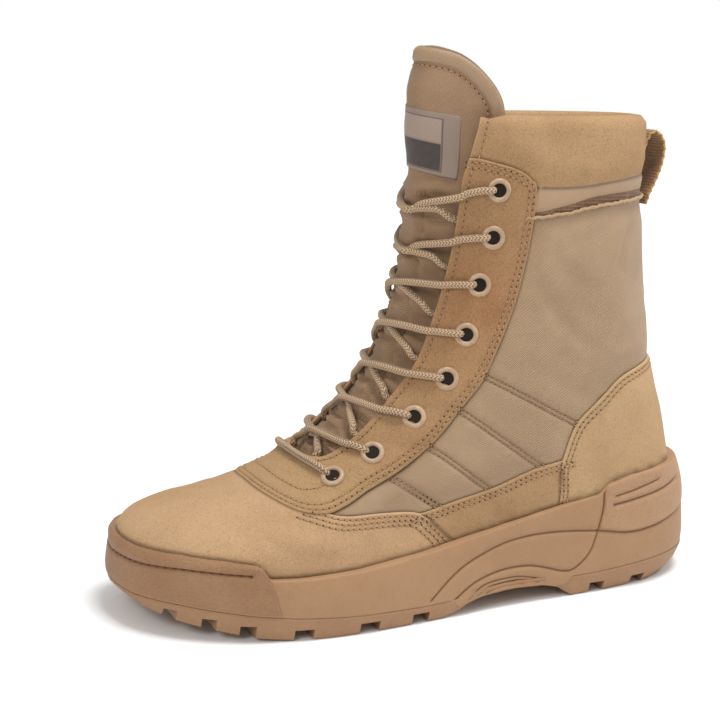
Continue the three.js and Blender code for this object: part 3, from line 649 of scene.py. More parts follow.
def within(points, ring):
    """Which points lie inside a closed ring of the chart."""
    x, y = points[:, 0][:, None], points[:, 1][:, None]
    x1, y1 = ring[:, 0][None], ring[:, 1][None]
    x2, y2 = np.roll(ring[:, 0], -1)[None], np.roll(ring[:, 1], -1)[None]
    inside = np.zeros(len(points), bool)
    for k in range(0, len(points), 4000):
        c = slice(k, k + 4000)
        crossing = ((y1 > y[c]) != (y2 > y[c])) & (x[c] < (x2 - x1) * (y[c] - y1) / (y2 - y1 + 1e-30) + x1)
        inside[c] = crossing.sum(1) % 2 == 1
    return inside


def nearest(spots, line):
    """Distance from each spot to a line of spots (closed lines repeat their first spot)."""
    a, b = line[:-1], line[1:]
    ab = b - a
    sq = (ab * ab).sum(1) + 1e-12
    out = np.empty(len(spots))
    for k in range(0, len(spots), 1500):
        rel = spots[k:k + 1500, None, :] - a[None]
        t = np.clip((rel * ab[None]).sum(-1) / sq[None], 0, 1)
        gap = rel - ab[None] * t[..., None]
        out[k:k + 1500] = np.sqrt((gap * gap).sum(-1).min(1))
    return out


def gauss(distance, width):
    """A soft bump, 1 at no distance."""
    return np.exp(-((distance / width) ** 2))


def mesh_piece(name, verts, faces, material, smooth=True, charts=None, marks=None):
    """One piece from millimetre points; charts are per-point flat coordinates, marks are named numbers."""
    mesh = bpy.data.meshes.new(name)
    mesh.from_pydata((np.asarray(verts, float) * MM).tolist(), [], [list(map(int, f)) for f in faces])
    mesh.materials.append(material)
    if charts is not None:
        layer = mesh.uv_layers.new(name="chart")
        corner = np.empty(len(mesh.loops), np.int32)
        mesh.loops.foreach_get("vertex_index", corner)
        layer.data.foreach_set("uv", np.asarray(charts, np.float32)[corner].ravel())
    for key, values in (marks or {}).items():
        mesh.attributes.new(key, "FLOAT", "POINT").data.foreach_set("value", np.asarray(values, np.float32))
    if smooth:
        mesh.polygons.foreach_set("use_smooth", [True] * len(mesh.polygons))
    mesh.update()
    piece = bpy.data.objects.new(name, mesh)
    bpy.context.scene.collection.objects.link(piece)
    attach(piece, "root")
    return piece


def lattice(low, high, cell, stretch):
    """Evenly spread chart points over a box of the chart; stretch gives rough millimetres per unit."""
    rows = max(int((high[0] - low[0]) * stretch[0] / cell), 2)
    cols = max(int((high[1] - low[1]) * stretch[1] / cell), 2)
    s, a = np.meshgrid(np.linspace(low[0], high[0], rows + 1), np.linspace(low[1], high[1], cols + 1),
                       indexing="ij")
    a = a + (np.arange(rows + 1) % 2)[:, None] * 0.5 * (high[1] - low[1]) / cols
    return np.stack([s.ravel(), a.ravel()], -1)


def flat_points(ring, place, rim_line, cell, stretch, edge, channel_lines, shade_from):
    """Chart points to join up: the outline, rows that follow the edge and the stitching, and a lattice."""
    rows = [(inset, sideways(place, ring, inset, closed=True)) for inset in (0.35 * edge, edge, 2.0 * edge)]
    wanted = [(line, (0.0, 0.5 * width, -0.5 * width, width, -width)) for line, _, width, _ in channel_lines]
    wanted += [(line, (0.0, 0.8, -0.8, 1.7, -1.7)) for line in shade_from]
    for line, offsets in wanted:
        rows += [(0.7 * edge, sideways(place, line, offset) if offset else line) for offset in offsets]
    points = [ring]
    for inset, row in rows:
        row = row[within(row, ring)]
        if len(row):
            points.append(row[nearest(spots_on(place, row), rim_line) > 0.86 * inset])
    grid = lattice(ring.min(0), ring.max(0), cell, stretch)
    grid = grid[within(grid, ring)]
    spots = spots_on(place, grid)
    keep = nearest(spots, rim_line) > 2.6 * edge
    for _, line, width, _ in channel_lines:
        keep &= nearest(spots, line) > 1.5 * width
    return np.vstack(points + [grid[keep]])


def joined_up(flat, ring, stretch):
    """Triangles over chart points, kept inside the outline."""
    flat, _, tris, _, _, _ = delaunay_2d_cdt(
        [Vector((p[0] * stretch[0], p[1] * stretch[1])) for p in flat],
        [(i, (i + 1) % len(ring)) for i in range(len(ring))], [], 0, 1e-4)
    flat = np.array([(v[0] / stretch[0], v[1] / stretch[1]) for v in flat])
    tris = np.array([t for t in tris if len(t) == 3], int)
    return flat, tris[within(flat[tris].mean(1), ring)]


def ring_numbers(flat, ring):
    """Which of the joined-up points each point of the outline has become."""
    first, ids = {}, []
    for i, (x, y) in enumerate(flat):
        first.setdefault((round(x * 2e3), round(y * 2e3)), i)
    for x, y in ring:
        key = (round(x * 2e3), round(y * 2e3))
        found = next((first[(key[0] + i, key[1] + j)] for i in (0, 1, -1) for j in (0, 1, -1)
                      if (key[0] + i, key[1] + j) in first), None)
        ids.append(found if found is not None else int(np.argmin(((flat - (x, y)) ** 2).sum(1))))
    return np.array(ids)


outer_pieces = []


def panel(name, outline, place, material, top=0.6, thick=1.2, under=0.8, cell=2.2,
          stretch=(19.0, 150.0), edge=0.9, channels=(), relief=None, chart=None, shade_from=(), outer=True):
    """One cut piece laid on a surface: rounded edge, stitched channels, and a relief of creases or padding.

    top is how far it stands out, thick its thickness at the cut edge and under how far that edge goes
    into the layer below. channels are (line, width, depth), shade_from lines where another piece ends on it.
    """
    ring = np.asarray(outline, float)
    if (ring[:, 0] * np.roll(ring[:, 1], -1) - np.roll(ring[:, 0], -1) * ring[:, 1]).sum() < 0:
        ring = ring[::-1]
    rim = spots_on(place, ring)
    rim_line = np.vstack([rim, rim[:1]])
    channel_lines = [(line, spots_on(place, line), width, depth) for line, width, depth in channels]
    flat = flat_points(ring, place, rim_line, cell, stretch, edge, channel_lines, shade_from)
    flat, tris = joined_up(flat, ring, stretch)
    spots = spots_on(place, flat)
    gap = nearest(spots, rim_line)
    roll = 1 - np.sqrt(np.clip(1 - (1 - np.clip(gap / edge, 0, 1)) ** 2, 0, 1))
    edge_drop = 0.75 * min(thick, edge * 1.1)
    height = top - edge_drop * roll
    groove_shade, shade = np.zeros(len(flat)), np.zeros(len(flat))
    # each channel leaves a mark that the finishes paint darker, as shade in the trough
    for _, line, width, depth in channel_lines:
        near = nearest(spots, line)
        height = height - depth * gauss(near, 0.62 * width)
        groove_shade = np.maximum(groove_shade, gauss(near, 0.55 * width))
    if relief is not None:
        height = height + relief(flat[:, 0], flat[:, 1], spots, gap)
    # the cut edge's wall, down to just inside the layer below
    ids = ring_numbers(flat, ring)
    base = place(ring[:, 0], ring[:, 1], height[ids] - (thick + under) + edge_drop)
    verts = np.vstack([place(flat[:, 0], flat[:, 1], height), base])
    after = np.roll(np.arange(len(ring)), -1)
    walls = [(ids[i], ids[j], len(flat) + j, len(flat) + i) for i, j in enumerate(after)]
    # faces look outwards, and the wall's with them
    a, b, c = (spots[tris[:, k]] for k in range(3))
    lifted = spots_on(place, flat, 1.0) - spots
    facing_out = (np.cross(b - a, c - a) * lifted[tris[:, 0]]).sum(1)
    tris = np.where((facing_out < 0)[:, None], tris[:, ::-1], tris)
    one, two = walls[0][:2]
    beside = tris[np.any(tris == one, axis=1) & np.any(tris == two, axis=1)]
    if len(beside):
        corners = list(beside[0])
        if corners[(corners.index(one) + 1) % 3] == two:
            walls = [wall[::-1] for wall in walls]
    if chart is None:
        charts = np.stack([flat[:, 1] * stretch[1], flat[:, 0] * stretch[0]], -1)
    else:
        charts = chart(flat[:, 0], flat[:, 1])
    # painted shade: darker along lines where another piece ends on this one, and just above the sole
    for line in shade_from:
        shade = np.maximum(shade, gauss(nearest(spots, spots_on(place, line)), 0.85) * (gap > 0.8 * edge))
    if place is on_last:
        above_sole = spots[:, 2] - side_at(spots[:, 1])[2]
        shade = np.maximum(shade, 0.85 * gauss(np.maximum(above_sole - 0.4, 0), 1.1))
    # on the cut edge's wall the edge mark is -1, which the suede paints darker as shade
    on_wall = np.zeros(len(ring))
    marks = {"edge": np.concatenate([gap, on_wall - 1.0]), "shade": np.concatenate([shade, on_wall]),
             "groove_shade": np.concatenate([groove_shade, on_wall])}
    piece = mesh_piece(name, verts, [tuple(tri) for tri in tris] + walls, material,
                       charts=np.vstack([charts, charts[ids]]), marks=marks)
    if outer:
        outer_pieces.append(piece)
    return piece


# ------------------------------------------------------------------ pattern lines of the upper (station, place)
THROAT_EDGE = [(0.0, 0.258), (1, 0.232), (2, 0.216), (3.2, 0.196), (4.1, 0.177), (5.2, 0.157), (6, 0.128),
               (7.3, 0.107), (8, 0.092), (8.35, 0.072), (8.5, 0.03)]
THROAT_GAP = np.array([(-1.5, 0.258)] + THROAT_EDGE)
FACING_EDGE = [(0.86, 0.237), (1.29, 0.222), (1.71, 0.22), (2.44, 0.211), (3.16, 0.196), (4.1, 0.175),
               (5.2, 0.155), (6.01, 0.125), (7.3, 0.104), (8.1, 0.088), (8.4, 0.062), (8.52, 0.0)]
COLLAR_SEAM = [(0.86, 0.237), (0.87, 0.27), (0.93, 0.308), (1.0, 0.347), (1.12, 0.387), (1.34, 0.42)]
FACING_REAR = [(1.34, 0.42), (1.62, 0.426), (2.16, 0.42), (2.83, 0.407), (3.61, 0.387), (4.54, 0.357),
               (5.31, 0.333), (6.01, 0.3), (6.96, 0.27), (7.86, 0.242), (8.79, 0.232), (9.6, 0.243),
               (10.3, 0.25), (10.62, 0.21), (10.62, 0.11), (10.55, 0.0)]
COLLAR_FOOT = [(1.34, 0.42), (1.42, 0.44), (1.39, 0.54), (1.29, 0.635), (1.17, 0.785), (1.12, 1.0)]
RIBBON_TOP = [(1.95, 0.4), (1.92, 0.44), (1.76, 0.52), (1.57, 0.61), (1.46, 0.795), (1.46, 1.0)]
TRIM_LINE = [(2.04, 0.4), (2.02, 0.43), (1.91, 0.518), (1.76, 0.605), (1.62, 0.795), (1.58, 1.0)]
QUILT_LINES = [[(5.17, 0.32), (5.43, 0.397), (5.65, 0.455), (5.88, 0.51), (6.13, 0.575)],
               [(6.03, 0.302), (6.34, 0.365), (6.59, 0.41), (6.85, 0.455), (7.16, 0.51)],
               [(7.03, 0.272), (7.28, 0.318), (7.49, 0.353), (7.7, 0.385), (7.97, 0.43)],
               [(8.22, 0.248), (8.43, 0.292), (8.58, 0.325), (8.76, 0.36), (9.0, 0.41)]]
COUNTER_FRONT = [(8.9, 0.58), (8.16, 0.56), (7.35, 0.542), (6.84, 0.542), (6.09, 0.562), (5.51, 0.615),
                 (4.95, 0.688), (4.64, 0.833), (4.58, 1.0)]
BAND_TOP = [(9.6, 0.36), (9.31, 0.385), (8.47, 0.4), (7.84, 0.433), (7.25, 0.485), (6.8, 0.56)]
VAMP_WING = [(10.5, 0.16), (10.29, 0.22), (10.12, 0.282), (9.66, 0.325), (9.33, 0.365), (9.36, 0.4),
             (9.6, 0.445), (9.96, 0.522), (10.1, 0.6), (10.2, 0.7)]


def same(line):
    return line


def over(line):
    """The same line on the medial side."""
    return [(s, -a) for s, a in line]


def past_ridge(line):
    """The same line on the medial side, counted on past the back, and run the other way."""
    return [(s, 2 - a) for s, a in line][::-1]


def round_back(line):
    """A line from the lateral side to the back, carried on to the medial side."""
    return list(line) + [(s, 2.0 - a) for s, a in line[::-1] if a < 0.999]


def run(points, place=None, step=1.6, smooth=True):
    return seam(points, place or on_last, step, smooth)


def straight(*points):
    return run(points, smooth=False)


def inward(line, distance, ring, place=on_last, probe=2):
    """A row set inside a piece's edge, on whichever side of the line the piece lies."""
    moved = sideways(place, line, distance)
    if not within(moved[len(moved) // probe][None], ring)[0]:
        moved = sideways(place, line, -distance)
    return moved


def crease(points, depth, width, place=on_last, lift=0.0):
    """A soft trough, fading at both ends, with an optional soft ridge beside it."""
    spots = spots_on(place, run(points, place, 2.0))
    middle = spots[len(spots) // 2]
    half = 0.5 * np.linalg.norm(spots[-1] - spots[0]) + 2.0

    def at(where):
        gap = nearest(where, spots)
        fade = np.clip(1.15 - (np.linalg.norm(where - middle, axis=1) / (half * 1.25)) ** 2, 0, 1)
        return (-depth * gauss(gap, width) + lift * gauss(gap - 1.9 * width, 1.2 * width)) * fade
    return at


def creases(*rows, flips=(same,)):
    """Several troughs as one relief; each row is (points, depth, width, lift)."""
    troughs = [crease(flip(points), depth, width, lift=lift) for flip in flips
               for points, depth, width, lift in rows]
    return lambda where: sum(trough(where) for trough in troughs)


def crowned(rise, width, more=None):
    """Relief of a piece that swells away from its edge."""
    return lambda s, a, where, gap: rise * (1 - gauss(gap, width)) + (more(where) if more else 0.0)


def spots_of(points, step=2.5):
    return spots_on(on_last, run(points, None, step))


# ------------------------------------------------------------------ shell: the nylon quarters and their lining
shell_ring = loop_of(
    run([(0.1, 0.262)] + [(s, a + 0.004) for s, a in THROAT_EDGE[1:-1]] + [(8.5, 0.035)]),
    straight((8.5, 0.035), (11.0, 0.035)), straight((11.0, 0.035), (11.0, 0.7)),
    run([(11.0, 0.7), (9.2, 0.74), (8.2, 0.84), (7.6, 1.0), (8.2, 1.16), (9.2, 1.26), (11.0, 1.3)]),
    straight((11.0, 1.3), (11.0, 1.965)), straight((11.0, 1.965), (8.5, 1.965)),
    run([(8.5, 1.965)] + [(s, 1.996 - a) for s, a in THROAT_EDGE[1:-1][::-1]] + [(0.1, 1.738)]),
    straight((0.1, 1.738), (0.1, 0.262)))
quarter_ring = loop_of(
    run(FACING_REAR[:-3]), straight((10.3, 0.25), (9.6, 0.36)), run(BAND_TOP),
    straight((6.8, 0.56), (6.84, 0.542)), run(COUNTER_FRONT[3:]),
    straight((4.58, 1.0), (1.58, 1.0)), run(TRIM_LINE)[::-1])
held_lines = [spots_of(round_back(line)) for line in (TRIM_LINE, COUNTER_FRONT)]
held_lines += [spots_of(flip(line)) for flip in (same, over) for line in (FACING_REAR, BAND_TOP)]
nylon_creases = creases(
    ([(2.1, 0.74), (2.5, 0.70), (3.0, 0.67)], 0.9, 2.4, 0.5),
    ([(2.0, 0.66), (2.3, 0.60), (2.5, 0.52)], 0.5, 2.6, 0.4),
    ([(3.6, 0.86), (4.0, 0.76), (4.3, 0.66)], 0.8, 3.2, 0.5),
    ([(3.3, 0.44), (3.9, 0.50), (4.4, 0.58)], 0.6, 3.4, 0.5),
    ([(2.6, 0.47), (3.1, 0.53), (3.4, 0.62)], 0.4, 3.0, 0.3),
    ([(4.9, 0.44), (5.4, 0.56), (5.5, 0.62)], 0.4, 3.0, 0.3), flips=(same, over))


def on_quarter(s, a):
    """Whether chart points show between the facing, the collar, the counter and the band."""
    return within(np.stack([s, a], -1), quarter_ring)


def nylon_relief(s, a, where, gap):
    """The nylon puffs up between its seams, and lies lower under the other pieces."""
    held = np.min([nearest(where, line) for line in held_lines], axis=0)
    puff = 1.5 * (1 - gauss(held, 7.0)) * np.clip((9.2 - s) / 1.0, 0, 1) * np.clip((s - 1.6) / 0.5, 0, 1)
    return np.where(on_quarter(s, np.where(a > 1, 2 - a, a)), puff + nylon_creases(where), -0.5)


def past_back(line):
    """Medial lines as the shell's chart counts them."""
    out = np.array(line, float)
    if out[:, 1].mean() < 0:
        out[:, 1] += 2.0
    return out


QUILT_HALF = 1.1  # half the distance between the two rows of a quilting line
quilt_runs = [run(flip(line), None, 1.4, False) for line in QUILT_LINES for flip in (same, over)]
quilt_pairs = [sideways(on_last, line, k) for line in quilt_runs for k in (-QUILT_HALF, QUILT_HALF)]
quilt_pairs = [row[on_quarter(row[:, 0], np.abs(row[:, 1]))] for row in quilt_pairs]
shell = panel(
    "quarter_nylon", shell_ring, on_last, QUARTER_NYLON, top=-0.9, thick=3.0, under=0.6, cell=2.4,
    channels=[(past_back(row), 1.1, 1.0) for row in quilt_pairs], relief=nylon_relief,
    shade_from=[past_back(run(flip(line))) for line in (FACING_REAR, BAND_TOP, VAMP_WING[1:6])
                for flip in (same, over)] + [run(round_back(line)) for line in (TRIM_LINE, COUNTER_FRONT)])
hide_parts("upper")


def inside(s, a, h):
    """A point of the upper's inner face."""
    return skin(s, a) - outward(s, a) * (wall_at(s) - 0.2 + np.asarray(h, float))[..., None]


panel("shaft_lining", shell_ring, inside, LINING, top=0.0, thick=1.0, under=0.0, cell=4.5,
      outer=False)

# ------------------------------------------------------------------ collar: padded suede rolled over the rim
RIM, RIM_START = 3.4, 0.15  # radius of the roll, and the station where it begins


def rolled_rim(s, a, h):
    """A point standing h out from the last, carried over the rim and down inside above RIM_START."""
    s, a = np.broadcast_arrays(np.asarray(s, float), np.asarray(a, float))
    h = np.broadcast_to(np.asarray(h, float), s.shape)
    outside = on_last(s, a, h)
    top = np.full(s.shape, RIM_START)
    n = outward(top, a)
    rise = unit(skin(top - 0.05, a) - skin(top + 0.05, a))
    rise = unit(rise - n * (rise * n).sum(-1, keepdims=True))
    past = (RIM_START - s) * STATION_ABOVE
    turn = np.clip(past / RIM, 0, np.pi)[..., None]
    down = np.maximum(past - np.pi * RIM, 0)[..., None]
    spoke = (n * np.cos(turn) + rise * np.sin(turn)) * (RIM + h[..., None])
    rolled = skin(top, a) - n * RIM + spoke - rise * down
    return np.where((s < RIM_START)[..., None], rolled, outside)


collar_ring = loop_of(
    run([(-0.95, 0.262), (0.0, 0.26), (0.5, 0.247), (0.86, 0.237)], rolled_rim),
    run(COLLAR_SEAM, rolled_rim), run(round_back(COLLAR_FOOT), rolled_rim),
    run(past_ridge(COLLAR_SEAM), rolled_rim),
    run([(0.86, 1.763), (0.5, 1.753), (0.0, 1.74), (-0.95, 1.738)], rolled_rim),
    run([(-0.95, 1.738), (-0.95, 0.262)], rolled_rim, 2.5, False))
collar_rows = [run([(-0.1, 0.287), (0.4, 0.276), (0.84, 0.264)], rolled_rim),
               run([(-0.1, 1.713), (0.4, 1.724), (0.84, 1.736)], rolled_rim)]
collar_foot_spots = spots_of(round_back(COLLAR_SEAM[1:-1] + COLLAR_FOOT))
collar_front_spots = np.vstack([spots_on(rolled_rim, row) for row in collar_rows])
collar_creases = creases(
    ([(0.25, 0.36), (0.5, 0.45), (0.55, 0.6)], 0.25, 5.0, 0.2),
    ([(0.9, 0.5), (0.8, 0.62), (0.85, 0.75)], 0.3, 4.0, 0.2),
    ([(0.45, 0.8), (0.7, 0.9), (0.6, 1.05)], 0.35, 5.0, 0.2))


def nearest_of(where, spots):
    """Distance from each place to the nearest of some separate spots."""
    return np.sqrt(((where[:, None, :] - spots[None]) ** 2).sum(-1).min(1))


def collar_relief(s, a, where, gap):
    """Padding, held down along the foot seam and the front rows."""
    foot, front = nearest(where, collar_foot_spots), nearest_of(where, collar_front_spots)
    pad = 2.2 * (1 - gauss(foot, 6.0)) * (1 - 0.8 * gauss(front, 5.0))
    pad = pad * np.clip((s + 0.9) / 0.6, 0.25, 1)
    return pad + collar_creases(where) * np.clip(s * 4, 0, 1)


collar = panel(
    "collar", collar_ring, rolled_rim, COLLAR_SUEDE, top=-0.35, thick=1.6, under=0.6,
    shade_from=[run(COLLAR_SEAM, rolled_rim), run(past_ridge(COLLAR_SEAM)[::-1], rolled_rim)],
    channels=[(row, 1.0, 0.35) for row in collar_rows], relief=collar_relief)

# ------------------------------------------------------------------ smooth strip and ribbon below the collar
STRIP_UP, RIBBON_UP = 0.12, 0.06  # stations by which each goes under the piece above it
strip_top = [(s - STRIP_UP, a) for s, a in COLLAR_FOOT[1:]]
strip_start = strip_top[0][0]
strip_ring = loop_of(
    run(round_back(strip_top)), straight((strip_start, 2 - 0.44), (1.93, 1.6)),
    run(round_back(RIBBON_TOP))[::-1], straight((1.93, 0.4), (strip_start, 0.44)))
panel("collar_strip", strip_ring, on_last, STRIP_NYLON, top=-0.5, thick=1.2, under=0.6,
      shade_from=[run(round_back(COLLAR_FOOT))], relief=crowned(0.8, 3.5))
ribbon_ring = loop_of(run(round_back([(s - RIBBON_UP, a) for s, a in RIBBON_TOP])),
                      run(round_back(TRIM_LINE))[::-1])
panel("trim_ribbon", ribbon_ring, on_last, TRIM_RIBBON, top=-0.75, thick=0.8, cell=1.8, edge=0.5)

# ------------------------------------------------------------------ band, counter, vamp and facing
SEAM_CHANNEL = (0.9, 0.22)  # width and depth of the trough that a row of stitches pulls in the suede


def sewn(rows, width=SEAM_CHANNEL[0], depth=SEAM_CHANNEL[1]):
    return [(row, width, depth) for row in rows]


band_rows = []
for side, flip in (("lateral", same), ("medial", over)):
    band_ring = loop_of(
        run(flip(BAND_TOP)), straight(*flip([(6.8, 0.56), (7.4, 0.6), (9.0, 0.72)])),
        straight(*flip([(9.0, 0.72), (10.6, 0.68)])), run(flip([(10.6, 0.68), (10.5, 0.5), (9.6, 0.36)])))
    rows = [inward(run(flip(BAND_TOP)), k, band_ring) for k in (2.2, 4.4)]
    band_rows += rows
    band_creases = creases(
        (flip([(7.3, 0.53), (7.9, 0.56), (8.5, 0.62)]), 0.3, 3.5, 0.2),
        (flip([(8.3, 0.44), (8.8, 0.5), (9.3, 0.6)]), 0.4, 4.0, 0.3))
    panel("side_band_" + side, band_ring, on_last, BAND_SUEDE, top=-0.25, under=0.9,
          channels=sewn(rows), shade_from=[run(flip(COUNTER_FRONT[:6])), run(flip(VAMP_WING[4:]))],
          relief=crowned(0.3, 4.0, band_creases))

counter_ring = loop_of(run(round_back(COUNTER_FRONT)),
                       run([(8.9, 1.42), (8.6, 1.25), (8.0, 1.0), (8.6, 0.75), (8.9, 0.58)]))
counter_rows = [inward(run(round_back(COUNTER_FRONT)), -k, counter_ring) for k in (2.0, 4.4)]
counter_creases = creases(
    ([(5.6, 0.72), (6.2, 0.7), (6.8, 0.66)], 0.35, 6.0, 0.3),
    ([(5.1, 0.86), (5.4, 0.95), (5.3, 1.06)], 0.3, 5.0, 0.2))
panel("heel_counter", counter_ring, on_last, COUNTER_SUEDE, top=0.05, thick=1.3, under=1.0, cell=2.6,
      channels=sewn(counter_rows), relief=crowned(0.9, 9.0, counter_creases))

vamp_backs = [run(flip(VAMP_WING)) for flip in (same, over)]
vamp_ring = loop_of(
    vamp_backs[0][::-1], run([(10.5, 0.16), (10.2, 0.0), (10.5, -0.16)]), vamp_backs[1],
    run([(10.2, -0.7), (13.0, -0.74), (15.0, -0.72), (16.9, -0.7)]),
    run([(16.9, -0.7), (16.9, 0.7)], None, 3.0, False),
    run([(16.9, 0.7), (15.0, 0.72), (13.0, 0.74), (10.2, 0.7)]))
wing_rows = [inward(line, sign * k, vamp_ring, probe=3)
             for line, sign in zip(vamp_backs, (1, -1)) for k in (2.0, 4.3, 6.6)]
# the rows stop where they pass under the facing
wing_rows = [row[(np.abs(row[:, 1]) > 0.235) | (row[:, 0] < 9.9)] for row in wing_rows]
vamp_creases = creases(
    ([(11.3, 0.33), (11.5, 0.2), (11.4, 0.02), (11.5, -0.2)], 0.7, 5.0, 0.5),
    ([(12.2, 0.36), (12.35, 0.2), (12.2, 0.0), (12.3, -0.25)], 0.5, 5.5, 0.4),
    ([(11.7, 0.5), (12.1, 0.42), (12.2, 0.3)], 0.4, 4.5, 0.3),
    ([(10.9, 0.4), (11.1, 0.32), (11.0, 0.25)], 0.45, 3.8, 0.3),
    ([(11.7, -0.5), (12.1, -0.42), (12.2, -0.3)], 0.4, 4.5, 0.3),
    ([(13.4, 0.5), (13.3, 0.35), (13.5, 0.2)], 0.25, 5.0, 0.2))
panel("vamp", vamp_ring, on_last, VAMP_SUEDE, top=0.0, under=1.0, cell=2.3, stretch=(14.0, 130.0),
      channels=sewn(wing_rows, depth=0.2), relief=crowned(0.25, 5.0, vamp_creases),
      shade_from=[run(flip([(8.9, 0.232)] + FACING_REAR[-5:])) for flip in (same, over)])

facing_ring = loop_of(
    run(COLLAR_SEAM), run(FACING_REAR), run(over(FACING_REAR))[::-1], run(over(COLLAR_SEAM))[::-1],
    run(over(FACING_EDGE)), run(FACING_EDGE)[::-1])
APRON_ROW = [(9.3, 0.237), (9.9, 0.243), (10.3, 0.245), (10.62, 0.2), (10.62, 0.11), (10.55, 0.0)]
OUTER_EDGE = COLLAR_SEAM + FACING_REAR[1:]
facing_rows = [inward(run(flip(line)), sign * k, facing_ring) for flip, sign in ((same, 1), (over, -1))
               for line, k in ((FACING_EDGE, 3.2), (OUTER_EDGE, 2.0), (OUTER_EDGE, 4.4))]
facing_rows += [inward(run(flip(APRON_ROW)), sign * 11.0, facing_ring)
                for flip, sign in ((same, 1), (over, -1))]
EYELET_SPOTS = [(1.5, 0.325), (2.44, 0.318), (3.38, 0.29), (4.41, 0.272), (5.38, 0.248), (6.35, 0.206),
                (7.58, 0.167), (8.76, 0.145)]
eyelet_middles = skin(*np.array([(s, a * k) for s, a in EYELET_SPOTS for k in (1, -1)]).T)
facing_creases = creases(
    ([(4.9, 0.17), (5.1, 0.24), (5.0, 0.33)], 0.45, 4.0, 0.3),
    ([(5.9, 0.14), (6.1, 0.22), (6.0, 0.29)], 0.5, 4.0, 0.3),
    ([(7.0, 0.12), (7.2, 0.18), (7.1, 0.26)], 0.5, 4.0, 0.3),
    ([(3.9, 0.2), (4.1, 0.28), (4.0, 0.36)], 0.3, 4.0, 0.3),
    ([(9.3, 0.02), (9.35, 0.1), (9.3, 0.2)], 0.4, 4.5, 0.3), flips=(same, over))


def facing_relief(s, a, where, gap):
    """Dished at the eyelets, creased, and a little proud along the throat's edge."""
    dish = -0.45 * gauss(nearest_of(where, eyelet_middles), 7.0)
    return dish + facing_creases(where) + 0.25 * gauss(gap, 2.0) * (s < 8.2) * (np.abs(a) < 0.25)


panel("facing", facing_ring, on_last, FACING_SUEDE, top=0.85, thick=1.3, under=1.4, cell=2.0,
      channels=sewn(facing_rows, depth=0.25), relief=facing_relief)


# ------------------------------------------------------------------ tongue
TONGUE_EDGE = [(-1.34, 0.1), (-1.22, 0.19), (-0.95, 0.265), (-0.5, 0.325), (0, 0.345), (1, 0.345), (3, 0.315),
               (5, 0.265), (7, 0.2), (8.6, 0.165), (9.2, 0.15)]
TONGUE_CHART = (19.0, 130.0)  # rough millimetres per station and per place


def throat_half(s):
    """Half the gap between the two facings, as a place on the last."""
    return np.interp(s, THROAT_GAP[:, 0], THROAT_GAP[:, 1])


def tucked_at(s):
    """Height of the tongue's face where it lies under a facing."""
    return -(wall_at(s) + 1.6)


def tongue_face(s, a):
    """Height of the tongue's front above the last (negative: tucked behind the facings)."""
    tucked = tucked_at(s)
    share = np.clip(np.abs(a) / throat_half(s), 0, 1)
    swell = np.cos(np.pi / 2 * share) ** 2 * np.clip((8.3 - s) / 1.2, 0, 1)
    lean = 3.0 * np.clip((0.9 - s) / 1.4, 0, 1) + 2.4 * gauss(s - 0.35, 0.8)
    lean = lean - 3.5 * np.clip((-0.55 - s) / 0.8, 0, 1)
    return tucked + (lean - tucked - 1.9) * swell


def on_tongue(s, a, h):
    a = np.asarray(a, float)
    return on_last(s, a, tongue_face(s, a) + np.asarray(h, float))


def behind_tongue(s, a, h):
    """A point of the tongue's lining; h is counted towards the foot."""
    a = np.asarray(a, float)
    tucked = tucked_at(s)
    return on_last(s, a, tucked - 4.6 + (tongue_face(s, a) - tucked) * 0.5 - np.asarray(h, float))


tongue_arc = run([(-1.38, -0.03), (-1.38, 0.03)] + TONGUE_EDGE, on_tongue, 2.0)
tongue_ring = loop_of(tongue_arc, run([(9.2, 0.15), (9.2, -0.15)], on_tongue, 2.0, False),
                      (tongue_arc * (1, -1))[::-1])
puckers = []
for s0 in (1.85, 2.85, 3.8, 4.7, 5.7, 6.8, 7.8):  # one set of folds between each two rows of lace
    for k in (1, -1):
        wide = float(throat_half(s0)) * k
        for points, depth, width, lift in (
                ([(0.0, 0.9), (-0.12, 0.5), (0.1, 0.0)], 2.4, 2.0, 1.5),
                ([(0.4, 0.8), (0.3, 0.5), (0.1, 0.15)], 2.0, 1.6, 1.2),
                ([(0.6, 0.35), (0.2, 0.3), (-0.2, 0.34)], 1.9, 1.6, 1.2)):
            fold = [(s0 + s, share * wide) for s, share in points]
            puckers.append(crease(fold, depth, width, on_tongue, lift))
puckers.append(crease([(1.75, -0.15), (1.68, -0.05), (1.78, 0.06), (1.9, 0.14)], 1.6, 2.2, on_tongue, 1.0))
puckers.append(crease([(2.1, -0.1), (2.0, 0.0), (2.15, 0.1)], 0.9, 2.0, on_tongue, 0.5))

BINDING_WIDE, BINDING_END = 7.2, 1.6  # millimetres, and the station where it goes under the facings
binding_inner = inward(tongue_arc, BINDING_WIDE, tongue_ring, on_tongue, 3)
binding_inner = np.array([p for p in binding_inner if p[0] < BINDING_END and p[1] > 0.0])
binding_line = np.vstack([binding_inner[::-1], binding_inner * (1, -1)])
binding_spots = spots_on(on_tongue, binding_line)


def tongue_relief(s, a, where, gap):
    """Padding in the free top, a hollow along the binding, and the folds."""
    crown = 0.9 * (1 - gauss(gap, 10.0)) * np.clip((1.2 - s) / 1.0, 0, 1)
    return crown - 0.8 * gauss(nearest(where, binding_spots), 2.6) + sum(fold(where) for fold in puckers)


tongue = panel("tongue_front", tongue_ring, on_tongue, TONGUE_NYLON, top=0.0, thick=3.4,
               under=0.2, cell=1.9, edge=2.6, stretch=TONGUE_CHART, relief=tongue_relief)
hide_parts("tongue")
panel("tongue_lining", tongue_ring, behind_tongue, LINING, top=0.0, thick=2.6, under=0.2,
      cell=3.5, edge=2.4, stretch=TONGUE_CHART, outer=False)

